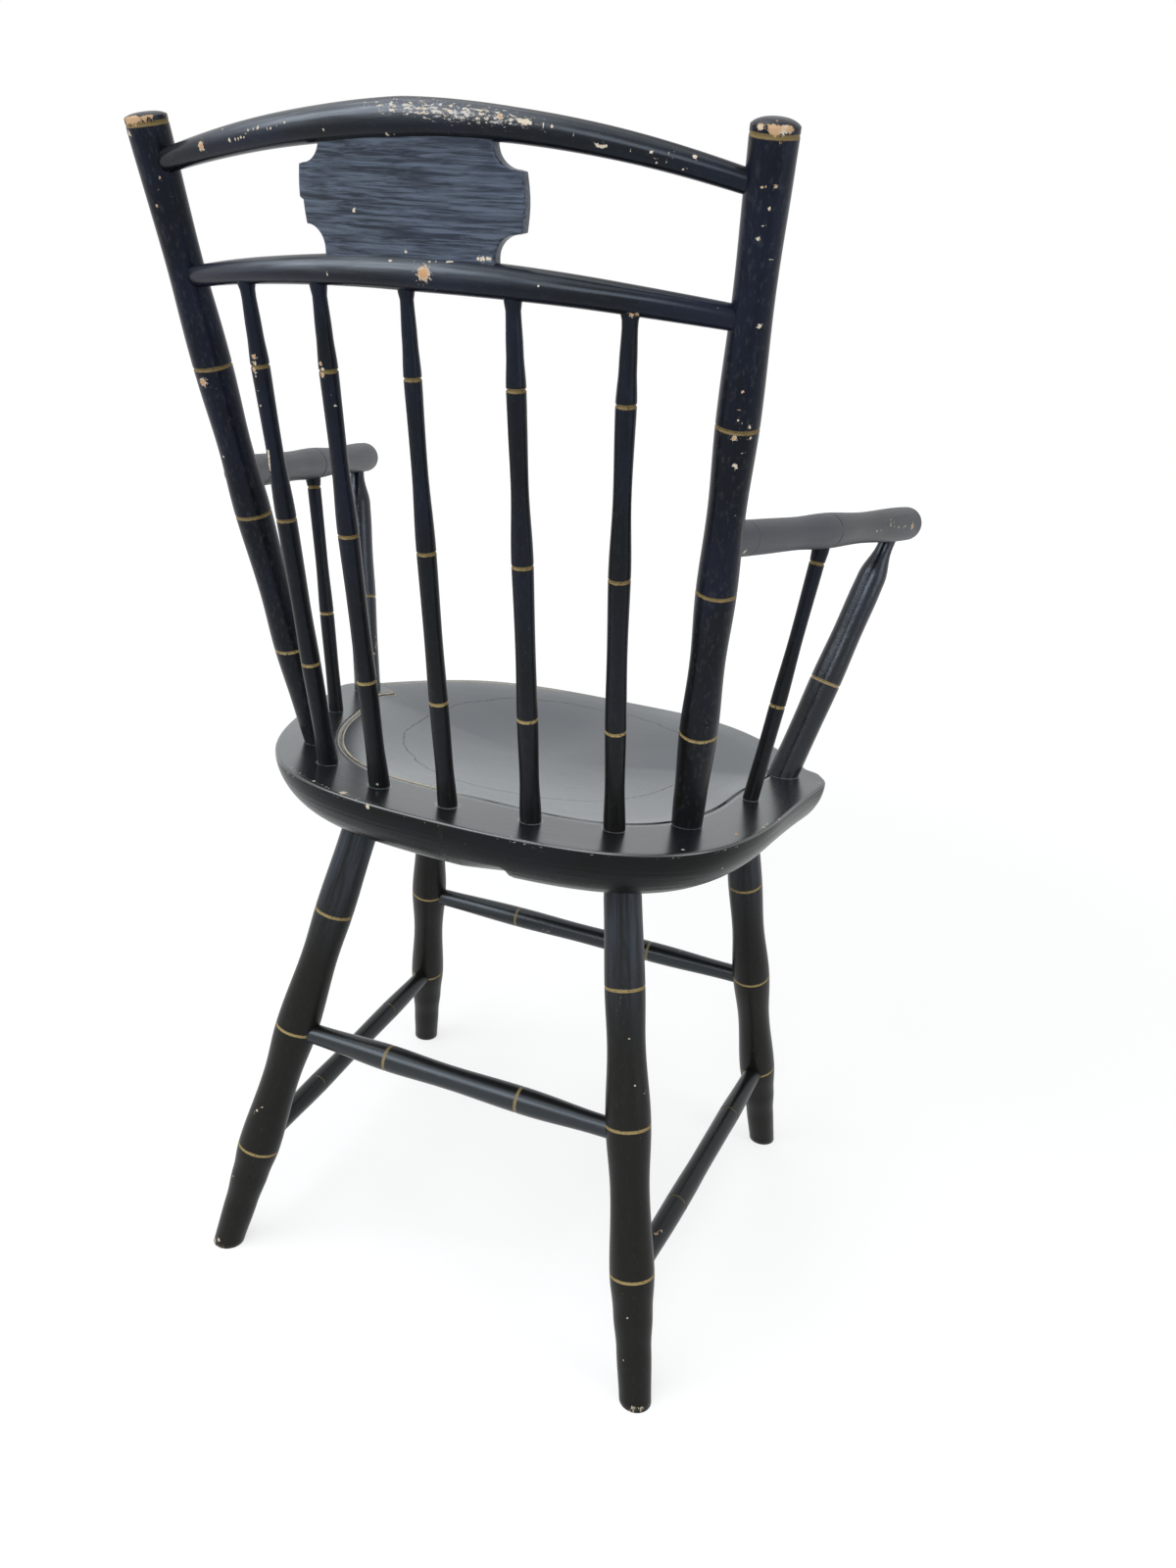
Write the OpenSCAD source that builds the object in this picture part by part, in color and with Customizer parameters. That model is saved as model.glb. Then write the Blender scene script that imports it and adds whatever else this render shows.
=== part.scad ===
// Windsor armchair with a rod back. A saddled plank seat carries bamboo turned legs, posts,
// spindles and arms, and two bent rails cross the back with a shaped tablet between them.
// Millimetres. Z is up, X runs across the chair, and the sitter faces -Y.

/* [Seat] */
// Height of the seat's flat rim above the floor
seat_height = 450; // [430:1:470]
// Thickness of the seat plank
seat_thickness = 44; // [40:1:50]
// Width of the seat over its two front corners
seat_width = 450; // [430:1:480]
// Width of the seat where the rear curve meets the straight sides
seat_rear_width = 414; // [400:1:424]
// Depth of the seat from its front edge to its rear edge
seat_depth = 384; // [374:1:406]
// Distance of the front corners from the rear edge
seat_corner_back = 245; // [238:1:254]
// Distance of the start of the straight sides from the rear edge
seat_side_back = 148; // [138:1:158]
// How far the rounded edge draws in between the rim and the flat underside
seat_bevel = 46; // [38:1:50]
// Width of the flat rim at the rear, outside the scored line
rim_rear = 53; // [50:1:60]
// Width of the flat rim at the sides, outside the scored line
rim_side = 43; // [41:1:50]
// Depth of the saddle below the rim
saddle_depth = 14; // [8:0.5:17]
// Drop of the front edge in the middle, below the rim
front_drop = 4.5; // [2:0.5:10]
// Radius that rolls the top over the front edge
front_roll = 11; // [6:0.5:14]

/* [Seat sockets] */
// Depth of the sockets for the sticks above the seat
socket_depth = 28; // [20:1:30]
// Depth of the leg sockets in the underside
leg_socket_depth = 25; // [18:1:27]
// Gap between a tenon and its socket, on the radius
fit_gap = 0.1; // [0.05:0.05:0.3]
// Extra depth of a socket past the end of its tenon
end_gap = 0.5; // [0.2:0.1:1]

/* [Legs] */
// Distance of the front legs inside the seat's greatest half width, at the underside
front_leg_in = 75; // [70:1:90]
// Distance of the front legs behind the front edge, at the underside
front_leg_back = 97; // [91:1:111]
// Distance of the rear legs inside the rear half width, at the underside
rear_leg_in = 98.5; // [85:0.5:110]
// Distance of the rear legs in front of the rear edge, at the underside
rear_leg_fwd = 103; // [95:1:115]
// How far a front foot stands out sideways from its leg's top
front_leg_splay = 50; // [30:1:65]
// How far a front foot stands forward of its leg's top
front_leg_rake = 109; // [90:1:120]
// How far a rear foot stands out sideways from its leg's top
rear_leg_splay = 81; // [60:1:95]
// How far a rear foot stands behind its leg's top
rear_leg_rake = 77; // [60:1:95]
// Diameter of the leg tenon
leg_tenon_d = 26; // [22:0.5:27]
// Diameter of a leg at its upper ring
leg_top_ring_d = 31; // [28:0.2:34]
// Diameter of a leg at its middle ring
leg_mid_ring_d = 35; // [32:0.2:39]
// Diameter of a leg at its lower ring
leg_low_ring_d = 34.6; // [32:0.2:39]
// Diameter of a leg at its upper waist
leg_waist_d = 29.4; // [27:0.2:32]
// Diameter of a leg at its lower waist
leg_low_waist_d = 30.2; // [27:0.2:32]
// Diameter of a leg at the foot
leg_foot_d = 25.8; // [23:0.2:30]

/* [Stretchers] */
// Height of the front stretcher above the floor
front_stretcher_z = 210.5; // [190:0.5:225]
// Height of the rear stretcher above the floor
rear_stretcher_z = 205.5; // [190:0.5:225]
// Height of the side stretchers at the front legs
side_stretcher_front_z = 99.5; // [85:0.5:120]
// Height of the side stretchers at the rear legs
side_stretcher_rear_z = 96; // [85:0.5:120]
// Diameter of the stretcher tenons
stretcher_end_d = 16.6; // [14:0.2:18]
// Diameter of the rear stretcher at its rings
rear_stretcher_d = 21.4; // [18:0.2:24]
// Diameter of the front stretcher at its rings
front_stretcher_d = 20; // [18:0.2:24]
// Diameter of the side stretchers at their rings
side_stretcher_d = 18.8; // [18:0.2:24]

/* [Posts] */
// Distance of the posts inside the rear half width, at the rim
post_in = 51.5; // [48:0.5:56]
// Distance of the posts in front of the rear edge, at the rim
post_fwd = 95.5; // [92:0.5:104]
// Height of the cap ring of a post above the rim
post_rise = 408; // [380:1:430]
// How far a post leans out sideways over that height
post_splay = 32.5; // [20:0.5:45]
// How far a post leans back over that height
post_rake = 122; // [100:1:140]
// Diameter of a post where it enters the seat
post_base_d = 22; // [20:0.2:24]
// Diameter of a post at its rings
post_ring_d = 25.4; // [24:0.2:28]
// Diameter of a post at its waists
post_waist_d = 22.8; // [22:0.2:24]
// Height of the dome over the cap ring
post_dome = 6.5; // [3:0.5:10]

/* [Back rails] */
// Height of the crest rail's ends above the rim
crest_height = 386; // [370:1:394]
// How far the crest rail bows back between the posts
crest_bow = 37; // [30:1:44]
// How far the crest rail rises between the posts
crest_rise = 20.5; // [14:0.5:26]
// Diameter of the crest rail in the middle
crest_d = 19.4; // [17:0.2:22]
// Height of the lower rail's ends above the rim
lower_height = 325.5; // [318:0.5:332]
// How far the lower rail bows back between the posts
lower_bow = 43.5; // [36:0.5:50]
// How far the lower rail rises between the posts
lower_rise = 9.2; // [5:0.2:14]
// Diameter of the lower rail in the middle
lower_d = 18.6; // [17:0.2:21]
// Diameter of both rails where they meet the posts
rail_end_d = 12.8; // [12:0.2:15]
// Diameter of the round tenons of the rails
rail_tenon_d = 10; // [8:0.2:11.6]

/* [Tablet] */
// Width of the tablet between its square shoulders
tablet_width = 133; // [120:1:144]
// Thickness of the tablet
tablet_thickness = 8.6; // [6:0.2:11]
// Radius of the hollow at each corner of the tablet
tablet_cove = 12; // [9:0.5:14]
// Step from the hollow out to the side of the tablet
tablet_step = 2.6; // [1:0.2:5]
// How far the sides of the tablet swell
tablet_swell = 1.4; // [0.4:0.2:3]
// Depth of the tablet's tongues in the rails
tablet_tongue = 4.5; // [3:0.5:6]

/* [Back spindles] */
// Distance between back spindles across the seat
spindle_pitch = 58.5; // [54:0.5:60]
// Distance of the middle spindle in front of the rear edge
spindle_fwd = 31.5; // [28:0.5:38]
// How far the outer spindles stand forward of the middle one
spindle_bow = 26; // [20:0.5:34]
// Distance between back spindles at the lower rail
spindle_top_pitch = 61; // [56:0.5:64]
// Diameter of a back spindle where it enters the seat
spindle_base_d = 15; // [13:0.2:17]
// Diameter of a back spindle at its two lower rings
spindle_ring_d = 14; // [12.8:0.2:16]
// Diameter of a back spindle at its upper ring
spindle_top_ring_d = 12; // [10:0.2:13]
// Diameter of a back spindle where it enters the rail
spindle_top_d = 8.8; // [7.6:0.2:10]

/* [Arms] */
// Height of an arm's rear end above the rim
arm_height = 206; // [190:1:220]
// How far an arm spreads outward on its way to the front
arm_splay = 74.5; // [60:0.5:90]
// How far an arm reaches forward of the post
arm_reach = 281; // [276:1:310]
// How far an arm falls on its way to the front
arm_drop = 7.5; // [0:0.5:14]
// Diameter of an arm at its ring
arm_ring_d = 24.4; // [22:0.2:27]
// Diameter of an arm at its waists
arm_waist_d = 21.8; // [20:0.2:24]
// Diameter of an arm near its front end
arm_front_d = 25.8; // [22:0.2:28]
// Diameter of the round tenon between arm and post
arm_tenon_d = 13; // [11:0.2:14]

/* [Arm supports] */
// Distance of the supports inside the seat's side, at the rim
support_in = 32; // [30:0.5:36]
// Distance of the supports in front of the rear edge, at the rim
support_fwd = 244.5; // [240:0.5:250]
// Place of the supports along the arm, from the post
support_along = 264; // [256:1:272]
// Diameter of a support below its ring
support_d = 23.4; // [20:0.2:25]
// Diameter of a support's neck, which enters the arm
support_neck_d = 12.2; // [10:0.2:14]
// Distance of the short arm spindles inside the seat's side, at the rim
arm_spindle_in = 28.5; // [26:0.5:34]
// Distance of the short arm spindles in front of the rear edge, at the rim
arm_spindle_fwd = 172; // [160:1:184]
// Place of the short spindles along the arm, from the post
arm_spindle_along = 141.5; // [125:0.5:155]
// Diameter of a short spindle at its lower ring
arm_spindle_d = 12; // [11:0.2:14]
// Diameter of a short spindle where it enters the arm
arm_spindle_top_d = 12; // [9:0.2:13]

/* [Scored rings] */
// Width of a scored ring
score_w = 2.2; // [1:0.2:3]
// Depth of a scored ring
score_depth = 0.7; // [0.3:0.1:1]

/* [Hidden] */
$fn = 48;
paint = "#1b1d1e";
left = 1;
right = -1;

// Points sampled between two stations of a turning
turn_steps = 5;
// Sides and stations of a bent rail
rail_sides = 16;
rail_rings = 32;
// Exponents of the curve that a steamed rail takes between its posts, and of its taper
rail_power = 1.85;
rail_taper = 1.15;
// Turn of a round socket about its own axis, which leaves its shape as it is
seam_turn = 50;
// How far tenons in the rails and arms run past the axis of what they enter
past_axis = 2;

// Plan is measured from the rear edge of the seat, then moved so that the chair's box is centred
half_rear = seat_rear_width / 2;
half_front = seat_width / 2;
side_lean = (half_front - half_rear) / (seat_corner_back - seat_side_back);
function side_x(fwd) = half_rear + side_lean * (fwd - seat_side_back);

underside = seat_height - seat_thickness;
front_foot_y = -seat_depth + front_leg_back - front_leg_rake;
front_leg_len = norm([front_leg_splay, front_leg_rake, underside]);
foot_reach = leg_foot_d / 2 * sqrt(1 - pow(front_leg_splay / front_leg_len, 2))
    * front_leg_len / underside;
crest_back = -post_fwd + post_rake * crest_height / post_rise + crest_bow + crest_d / 2;
centre_y = -(crest_back + front_foot_y - foot_reach) / 2;

function at(x, fwd, z) = [x, centre_y - fwd, z];
function mix(a, b, t) = a + (b - a) * t;
function ease(t) = (1 - cos(180 * t)) / 2;
function unit(v) = v / norm(v);

// Legs, from the underside of the seat to the floor
function leg_top(side, rear) = rear
    ? at(side * (half_rear - rear_leg_in), rear_leg_fwd, underside)
    : at(side * (half_front - front_leg_in), seat_depth - front_leg_back, underside);
function leg_foot(side, rear) = [leg_top(side, rear).x + side * (rear ? rear_leg_splay : front_leg_splay),
    leg_top(side, rear).y + (rear ? rear_leg_rake : -front_leg_rake), 0];
function leg_at(side, rear, z) = mix(leg_foot(side, rear), leg_top(side, rear), z / underside);
leg_rings = [0.22, 0.476, 0.754];

// Posts, by height above the rim
function post_at(side, rise) =
    at(side * (half_rear - post_in + post_splay * rise / post_rise), post_fwd, seat_height)
    + [0, post_rake, post_rise] * rise / post_rise;
post_len = norm([post_splay, post_rake, post_rise]);
post_rings = [0.188, 0.432, 0.669];

// Bent rails, for u from -1 at the right post to 1 at the left post
function rail_at(height, bow, rise, u) =
    let (end = post_at(left, height), drop = pow(abs(u), rail_power))
    [u * end.x, end.y + bow * (1 - drop), end.z + rise * (1 - drop)];
function crest_at(u) = rail_at(crest_height, crest_bow, crest_rise, u);
function lower_at(u) = rail_at(lower_height, lower_bow, lower_rise, u);
crest_half = crest_at(1).x;
lower_half = lower_at(1).x;

// Arms and what stands under them
function arm_root(side) = post_at(side, arm_height);
function arm_tip(side) = arm_root(side) + [side * arm_splay, -arm_reach, -arm_drop];
arm_len = norm([arm_splay, arm_reach, arm_drop]);
function arm_at(side, along) = mix(arm_root(side), arm_tip(side), along / arm_len);
function support_base(side) = at(side * (side_x(support_fwd) - support_in), support_fwd, seat_height);
function support_top(side) = arm_at(side, support_along);
function arm_spindle_base(side) =
    at(side * (side_x(arm_spindle_fwd) - arm_spindle_in), arm_spindle_fwd, seat_height);
function arm_spindle_top(side) = arm_at(side, arm_spindle_along);
support_ring = 0.392;
arm_spindle_rings = [0.39, 0.9];

// Back spindles, numbered -2 to 2 across the back
function spindle_base(k) = at(k * spindle_pitch, spindle_fwd + spindle_bow * k * k / 4, seat_height);
function spindle_top(k) = lower_at(k * spindle_top_pitch / lower_half);
spindle_rings = [0.237, 0.543, 0.84];

// Points of a turning's outline. A station is [distance along, diameter, scored ring or not].
function turning(stations) = [
    for (i = [0:len(stations) - 2])
        let (a = stations[i], b = stations[i + 1],
            from = a[0] + (a[2] ? score_w / 2 : 0),
            to = b[0] - (b[2] ? score_w / 2 : 0))
        each concat(
            a[2] ? [[a[1] / 2 - score_depth, a[0]]] : [],
            [for (j = [a[2] || i == 0 ? 0 : 1:turn_steps])
                let (s = mix(from, to, j / turn_steps), t = (s - a[0]) / (b[0] - a[0]))
                [mix(a[1], b[1], ease(t)) / 2, s]])];

// Outline of a rounded end of radius r over the distance s, with square corners as dome_square falls
dome_square = 0.6;
function dome(r, s, height) = [for (a = [15:15:75])
    [r * pow(cos(a), dome_square), s + height * pow(sin(a), dome_square)]];

// Stands its children with their Z axis along the line from p to q
module along(p, q) {
    v = q - p;
    translate(p)
        rotate([0, acos(v.z / norm(v)), atan2(v.y, v.x)])
            children();
}

// A turned stick from p towards q, with an optional rounded end. Turn spins it about its own axis.
module turned(p, q, stations, end = [], turn = 0) {
    points = turning(stations);
    first = points[0];
    last = len(end) > 0 ? end[len(end) - 1] : points[len(points) - 1];
    tip = last[1] + (len(end) > 0 ? last[0] * tan(15) / 2 : 0);
    along(p, q)
        rotate([0, 0, turn])
            rotate_extrude()
                polygon(concat([[0, first[1]]], points, end, [[0, tip]]));
}

// Blind round socket from just outside p down to the given depth below it, along q to p
module socket(p, q, d, depth, above) {
    along(p, q)
        translate([0, 0, -depth - end_gap])
            rotate([0, 0, seam_turn])
                cylinder(d = d + 2 * fit_gap, h = depth + end_gap + above);
}

// Seat outline, half of it, from the middle of the rear edge round to the middle of the front
rear_handle = 0.63;
corner_handle = [0.894, 0.2];
front_handle = [0.785, 0.63];
nose_handle = 0.46;
ear_round = 8;
function cubic(p, t) = pow(1 - t, 3) * p[0] + 3 * pow(1 - t, 2) * t * p[1]
    + 3 * (1 - t) * t * t * p[2] + pow(t, 3) * p[3];
rear_curve = [[0, 0], [rear_handle * half_rear, 0],
    [corner_handle.x * half_rear, -corner_handle.y * seat_side_back], [half_rear, -seat_side_back]];
ear = [half_front, -seat_corner_back];
front_curve = [ear,
    [front_handle.x * half_front, ear.y - front_handle.y * (seat_depth - seat_corner_back)],
    [nose_handle * half_front, -seat_depth], [0, -seat_depth]];
ear_before = ear + ear_round * unit(rear_curve[3] - ear);
ear_after = ear + ear_round * unit(front_curve[1] - ear);
half_outline = concat(
    [for (i = [0:12]) cubic(rear_curve, i / 12)],
    [for (i = [1:4]) mix(rear_curve[3], ear_before, i / 4)],
    [(ear_before + 2 * ear + ear_after) / 4, ear_after],
    [for (i = [1:14]) cubic(front_curve, mix(0.06, 1, pow(i / 14, 1.2)))]);
outline = concat(half_outline,
    [for (i = [len(half_outline) - 2:-1:1]) [-half_outline[i].x, half_outline[i].y]]);

// The saddle is laid out on rays from its deepest point to the edge
saddle_centre = [0, -0.52 * seat_depth];
// The rim ends just in front of the corners, and the front edge begins there
rim_end = 16;
rim_fade = 12;
// The lip of the dish moves out to the front edge over this distance, before and after the corners
lip_turn = 85;
// The front edge is as high as the rim from this far off the middle
dip_half = 150;
score_seat_w = 3;
score_seat_depth = 1.2;
arris = 2.5;
function eased(t) = ease(max(0, min(1, t)));
function front_share(p) = eased((-p.y - seat_corner_back - rim_end) / rim_fade);
function lip_share(p) = eased((-p.y - seat_corner_back + lip_turn) / (2 * lip_turn));
function rim_width(p) = mix(rim_rear, rim_side, eased(-p.y / seat_side_back));
function edge_drop(p) = front_drop * eased(1 - abs(p.x) / dip_half);
// Height of the dish at a distance in from the edge, by the place of its lip and its slope there
function dish_height(p, inset) =
    let (g = lip_share(p), lip = score_seat_w + mix(rim_width(p), front_roll + 2, g),
        u = max(0, (inset - lip) / (norm(saddle_centre - p) - lip)))
    mix(-g * edge_drop(p), -saddle_depth, mix(1 - pow(1 - u, 2.2), ease(u), g));
// A point on the ray of outline point p, drawn in by a distance
function drawn_in(p, inset, z) = let (q = p + inset * unit(saddle_centre - p)) [q.x, q.y, z];
// Section of the seat on the ray of outline point p, from the underside up and in to the saddle
function seat_section(p) =
    let (f = front_share(p), roll = mix(arris, front_roll, f),
        top = -f * edge_drop(p),
        score = mix(rim_width(p), front_roll + 2, f),
        dish = score + score_seat_w,
        groove = min(top, dish_height(p, dish)) - (1 - f) * score_seat_depth,
        reach = norm(saddle_centre - p) - dish)
    concat(
        [for (a = [90:-15:0])
            drawn_in(p, seat_bevel * (1 - cos(a)), mix(top - roll, -seat_thickness, sin(a)))],
        [for (a = [30:30:90]) drawn_in(p, roll * (1 - cos(a)), top - roll * (1 - sin(a)))],
        [drawn_in(p, score, top), drawn_in(p, score + score_seat_w / 2, groove)],
        [for (share = [0, 0.06, 0.14, 0.25, 0.4, 0.58, 0.79])
            drawn_in(p, dish + share * reach, dish_height(p, dish + share * reach))]);

module seat_blank() {
    sections = [for (p = outline) seat_section(p)];
    n = len(outline);
    rings = len(sections[0]);
    under = [saddle_centre.x, saddle_centre.y, -seat_thickness];
    dip = [saddle_centre.x, saddle_centre.y, -saddle_depth];
    points = concat([for (s = sections) each s], [under, dip]);
    skin = [for (i = [0:n - 1], j = [0:rings - 2])
        let (a = i * rings + j, b = ((i + 1) % n) * rings + j)
        each [[a, a + 1, b + 1], [a, b + 1, b]]];
    floor_fan = [for (i = [0:n - 1]) [n * rings, i * rings, ((i + 1) % n) * rings]];
    dish_fan = [for (i = [0:n - 1])
        [n * rings + 1, ((i + 1) % n) * rings + rings - 1, i * rings + rings - 1]];
    translate(at(0, 0, seat_height))
        polyhedron(points, concat(skin, floor_fan, dish_fan));
}

module seat() {
    color(paint)
        difference() {
            seat_blank();
            for (side = [left, right]) {
                socket(post_at(side, 0), post_at(side, post_rise), post_base_d, socket_depth, 12);
                socket(support_base(side), support_top(side), support_d, socket_depth, 12);
                socket(arm_spindle_base(side), arm_spindle_top(side), arm_spindle_d, socket_depth, 8);
                for (rear = [true, false])
                    socket(leg_top(side, rear), leg_foot(side, rear), leg_tenon_d,
                        leg_socket_depth, 24);
            }
            for (k = [-2:2])
                socket(spindle_base(k), spindle_top(k), spindle_base_d, socket_depth, 8);
        }
}

// A post before it is bored, or its room against the shoulders of rails and arms where grow is a gap
module post_shape(side, grow = 0) {
    wide = 2 * grow;
    stations = concat(
        [[-socket_depth, post_base_d + wide],
            [3, post_base_d + wide],
            [24, mix(post_base_d, post_waist_d, 0.8) + wide]],
        [for (i = [0:2]) each [
            [post_rings[i] * post_len, post_ring_d + wide, true],
            [mix(post_rings[i], i < 2 ? post_rings[i + 1] : 1, 0.5) * post_len, post_waist_d + wide]]],
        [[post_len, post_ring_d - 0.6 + wide, true],
            [post_len + score_w, post_ring_d - 0.8 + wide]]);
    turned(post_at(side, 0), post_at(side, post_rise), stations,
        dome(post_ring_d / 2 - 0.4 + grow, post_len + score_w, post_dome - score_w));
}

module post(side) {
    color(paint)
        difference() {
            post_shape(side);
            rail_tenon(side, crest_height, crest_bow, crest_rise, fit_gap, end_gap);
            rail_tenon(side, lower_height, lower_bow, lower_rise, fit_gap, end_gap);
            arm_tenon(side, fit_gap, end_gap);
        }
}

// Round tenon of a rail, along the rail's end, from inside the rail to past the post's axis
module rail_tenon(side, height, bow, rise, grow = 0, deeper = 0) {
    end = rail_at(height, bow, rise, side);
    inner = rail_at(height, bow, rise, 0.9 * side);
    along(end, inner)
        translate([0, 0, -past_axis - deeper])
            cylinder(d = rail_tenon_d + 2 * grow, h = norm(inner - end) + past_axis + deeper);
}

// Bent rail that tapers from the middle to both ends, scribed to the posts
module bent_rail(height, bow, rise, mid_d) {
    us = [for (i = [0:rail_rings]) mix(-0.985, 0.985, i / rail_rings)];
    frames = [for (u = us)
        let (c = rail_at(height, bow, rise, u),
            t = unit(rail_at(height, bow, rise, u + 0.01) - rail_at(height, bow, rise, u - 0.01)),
            n = unit(cross(t, [0, 0, 1])), b = cross(n, t),
            r = mix(mid_d, rail_end_d, pow(abs(u), rail_taper)) / 2)
        [c, n, b, r]];
    points = [for (f = frames, i = [0:rail_sides - 1])
        f[0] + f[3] * (cos(360 * i / rail_sides) * f[1] + sin(360 * i / rail_sides) * f[2])];
    skin = [for (k = [0:rail_rings - 1], i = [0:rail_sides - 1])
        let (a = k * rail_sides, b = a + rail_sides, j = (i + 1) % rail_sides)
        each [[a + i, a + j, b + j], [a + i, b + j, b + i]]];
    first = [for (i = [rail_sides - 1:-1:0]) i];
    last = [for (i = [0:rail_sides - 1]) rail_rings * rail_sides + i];
    difference() {
        polyhedron(points, concat(skin, [first, last]));
        for (side = [left, right])
            post_shape(side, fit_gap);
    }
    for (side = [left, right])
        rail_tenon(side, height, bow, rise);
}

module crest_rail() {
    color(paint)
        difference() {
            bent_rail(crest_height, crest_bow, crest_rise, crest_d);
            tablet_shape(fit_gap);
        }
}

module lower_rail() {
    color(paint)
        difference() {
            bent_rail(lower_height, lower_bow, lower_rise, lower_d);
            tablet_shape(fit_gap);
            for (k = [-2:2])
                along(spindle_base(k), spindle_top(k))
                    cylinder(d = spindle_top_d + 2 * fit_gap,
                        h = norm(spindle_top(k) - spindle_base(k)) + past_axis + end_gap);
        }
}

// The tablet stands on the lower rail and leans with the back
tablet_foot = lower_at(0);
tablet_head = crest_at(0);
tablet_lean = atan2(tablet_head.y - tablet_foot.y, tablet_head.z - tablet_foot.z);
tablet_span = norm(tablet_head - tablet_foot);
tablet_half = tablet_width / 2;
tablet_sag = lower_bow * pow(tablet_half / lower_half, rail_power);
tablet_bend = (tablet_half * tablet_half + tablet_sag * tablet_sag) / (2 * tablet_sag);

// Half outline of the tablet from its lower tongue up to its upper one
function tablet_side(grow) =
    let (low = lower_d / 2, high = tablet_span - crest_d / 2,
        cove_x = tablet_half - tablet_step, tongue = cove_x - tablet_cove + grow)
    concat(
        [[tongue, low - tablet_tongue - grow]],
        [for (a = [180:-15:90]) [cove_x + tablet_cove * cos(a) + grow, low + tablet_cove * sin(a)]],
        [for (t = [0:0.125:1])
            [tablet_half + tablet_swell * sin(180 * t) + grow,
                mix(low + tablet_cove, high - tablet_cove, t)]],
        [for (a = [90:15:180]) [cove_x + tablet_cove * cos(a) + grow, high - tablet_cove * sin(a)]],
        [[tongue, high + tablet_tongue + grow]]);

// The tablet, bent to the curve of the rails, or its room in them where grow is a gap
module tablet_shape(grow = 0) {
    half = tablet_side(grow);
    mirrored = [for (i = [len(half) - 1:-1:0]) [-half[i].x, half[i].y]];
    thick = tablet_thickness + 2 * grow;
    tall = tablet_span * 2;
    translate(tablet_foot)
        rotate([-tablet_lean, 0, 0])
            intersection() {
                rotate([90, 0, 0])
                    linear_extrude(height = 60, center = true)
                        polygon(concat(half, mirrored));
                translate([0, -tablet_bend, 0])
                    difference() {
                        cylinder(r = tablet_bend + thick / 2, h = tall, center = true, $fn = 360);
                        cylinder(r = tablet_bend - thick / 2, h = tall + 2, center = true, $fn = 360);
                    }
            }
}

module tablet() {
    color(paint)
        tablet_shape();
}

// One of the five back spindles
module spindle(k) {
    base = spindle_base(k);
    top = spindle_top(k);
    len = norm(top - base);
    stations = [
        [-socket_depth, spindle_base_d],
        [2, spindle_base_d],
        [0.1 * len, mix(spindle_base_d, spindle_ring_d, 0.9) - 0.8],
        [spindle_rings[0] * len, spindle_ring_d, true],
        [0.38 * len, spindle_ring_d - 1.8],
        [spindle_rings[1] * len, spindle_ring_d - 0.1, true],
        [0.69 * len, mix(spindle_ring_d, spindle_top_ring_d, 0.8) - 1.4],
        [spindle_rings[2] * len, spindle_top_ring_d, true],
        [0.9 * len, mix(spindle_top_ring_d, spindle_top_d, 0.6)],
        [0.96 * len, spindle_top_d],
        [len + past_axis, spindle_top_d]];
    color(paint)
        turned(base, top, stations);
}

// Round tenon at the rear end of an arm, from inside the arm to past the post's axis
module arm_tenon(side, grow = 0, deeper = 0) {
    along(arm_root(side), arm_tip(side))
        translate([0, 0, -past_axis - deeper])
            cylinder(d = arm_tenon_d + 2 * grow, h = post_ring_d + past_axis + deeper);
}

module arm(side) {
    round_end = 8;
    stations = [
        [2, arm_waist_d + 0.8],
        [0.14 * arm_len, arm_waist_d + 0.4],
        [0.31 * arm_len, arm_waist_d],
        [0.49 * arm_len, arm_ring_d, true],
        [0.68 * arm_len, arm_waist_d + 0.4],
        [0.92 * arm_len, arm_front_d],
        [arm_len - round_end, arm_front_d - 0.4]];
    color(paint) {
        difference() {
            turned(arm_root(side), arm_tip(side), stations,
                dome(arm_front_d / 2 - 0.2, arm_len - round_end, round_end));
            post_shape(side, fit_gap);
            along(support_base(side), support_top(side))
                cylinder(d = support_neck_d + 2 * fit_gap,
                    h = norm(support_top(side) - support_base(side)) + past_axis + end_gap);
            along(arm_spindle_base(side), arm_spindle_top(side))
                cylinder(d = arm_spindle_top_d + 2 * fit_gap,
                    h = norm(arm_spindle_top(side) - arm_spindle_base(side)) + past_axis + end_gap);
        }
        arm_tenon(side);
    }
}

// Arm support with a shoulder and a drawn neck that enters the arm
module arm_support(side) {
    base = support_base(side);
    top = support_top(side);
    len = norm(top - base);
    under_arm = len - arm_front_d / 2;
    stations = [
        [-socket_depth, support_d],
        [3, support_d],
        [0.2 * len, support_d - 0.2],
        [support_ring * len, support_d + 0.8, true],
        [0.6 * len, support_d - 1.2],
        [under_arm - 46, support_d - 0.8],
        [under_arm - 30, support_d - 1.6],
        [under_arm - 3, support_neck_d],
        [len + past_axis, support_neck_d]];
    color(paint)
        turned(base, top, stations);
}

// Short spindle between the seat and an arm
module arm_spindle(side) {
    base = arm_spindle_base(side);
    top = arm_spindle_top(side);
    len = norm(top - base);
    stations = [
        [-socket_depth, arm_spindle_d],
        [2, arm_spindle_d],
        [0.2 * len, arm_spindle_d - 0.8],
        [arm_spindle_rings[0] * len, arm_spindle_d - 0.2, true],
        [0.62 * len, arm_spindle_d - 2],
        [arm_spindle_rings[1] * len, arm_spindle_d - 1.2, true],
        [len - arm_waist_d / 2 - 2, arm_spindle_top_d],
        [len + past_axis, arm_spindle_top_d]];
    color(paint)
        turned(base, top, stations);
}

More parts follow.
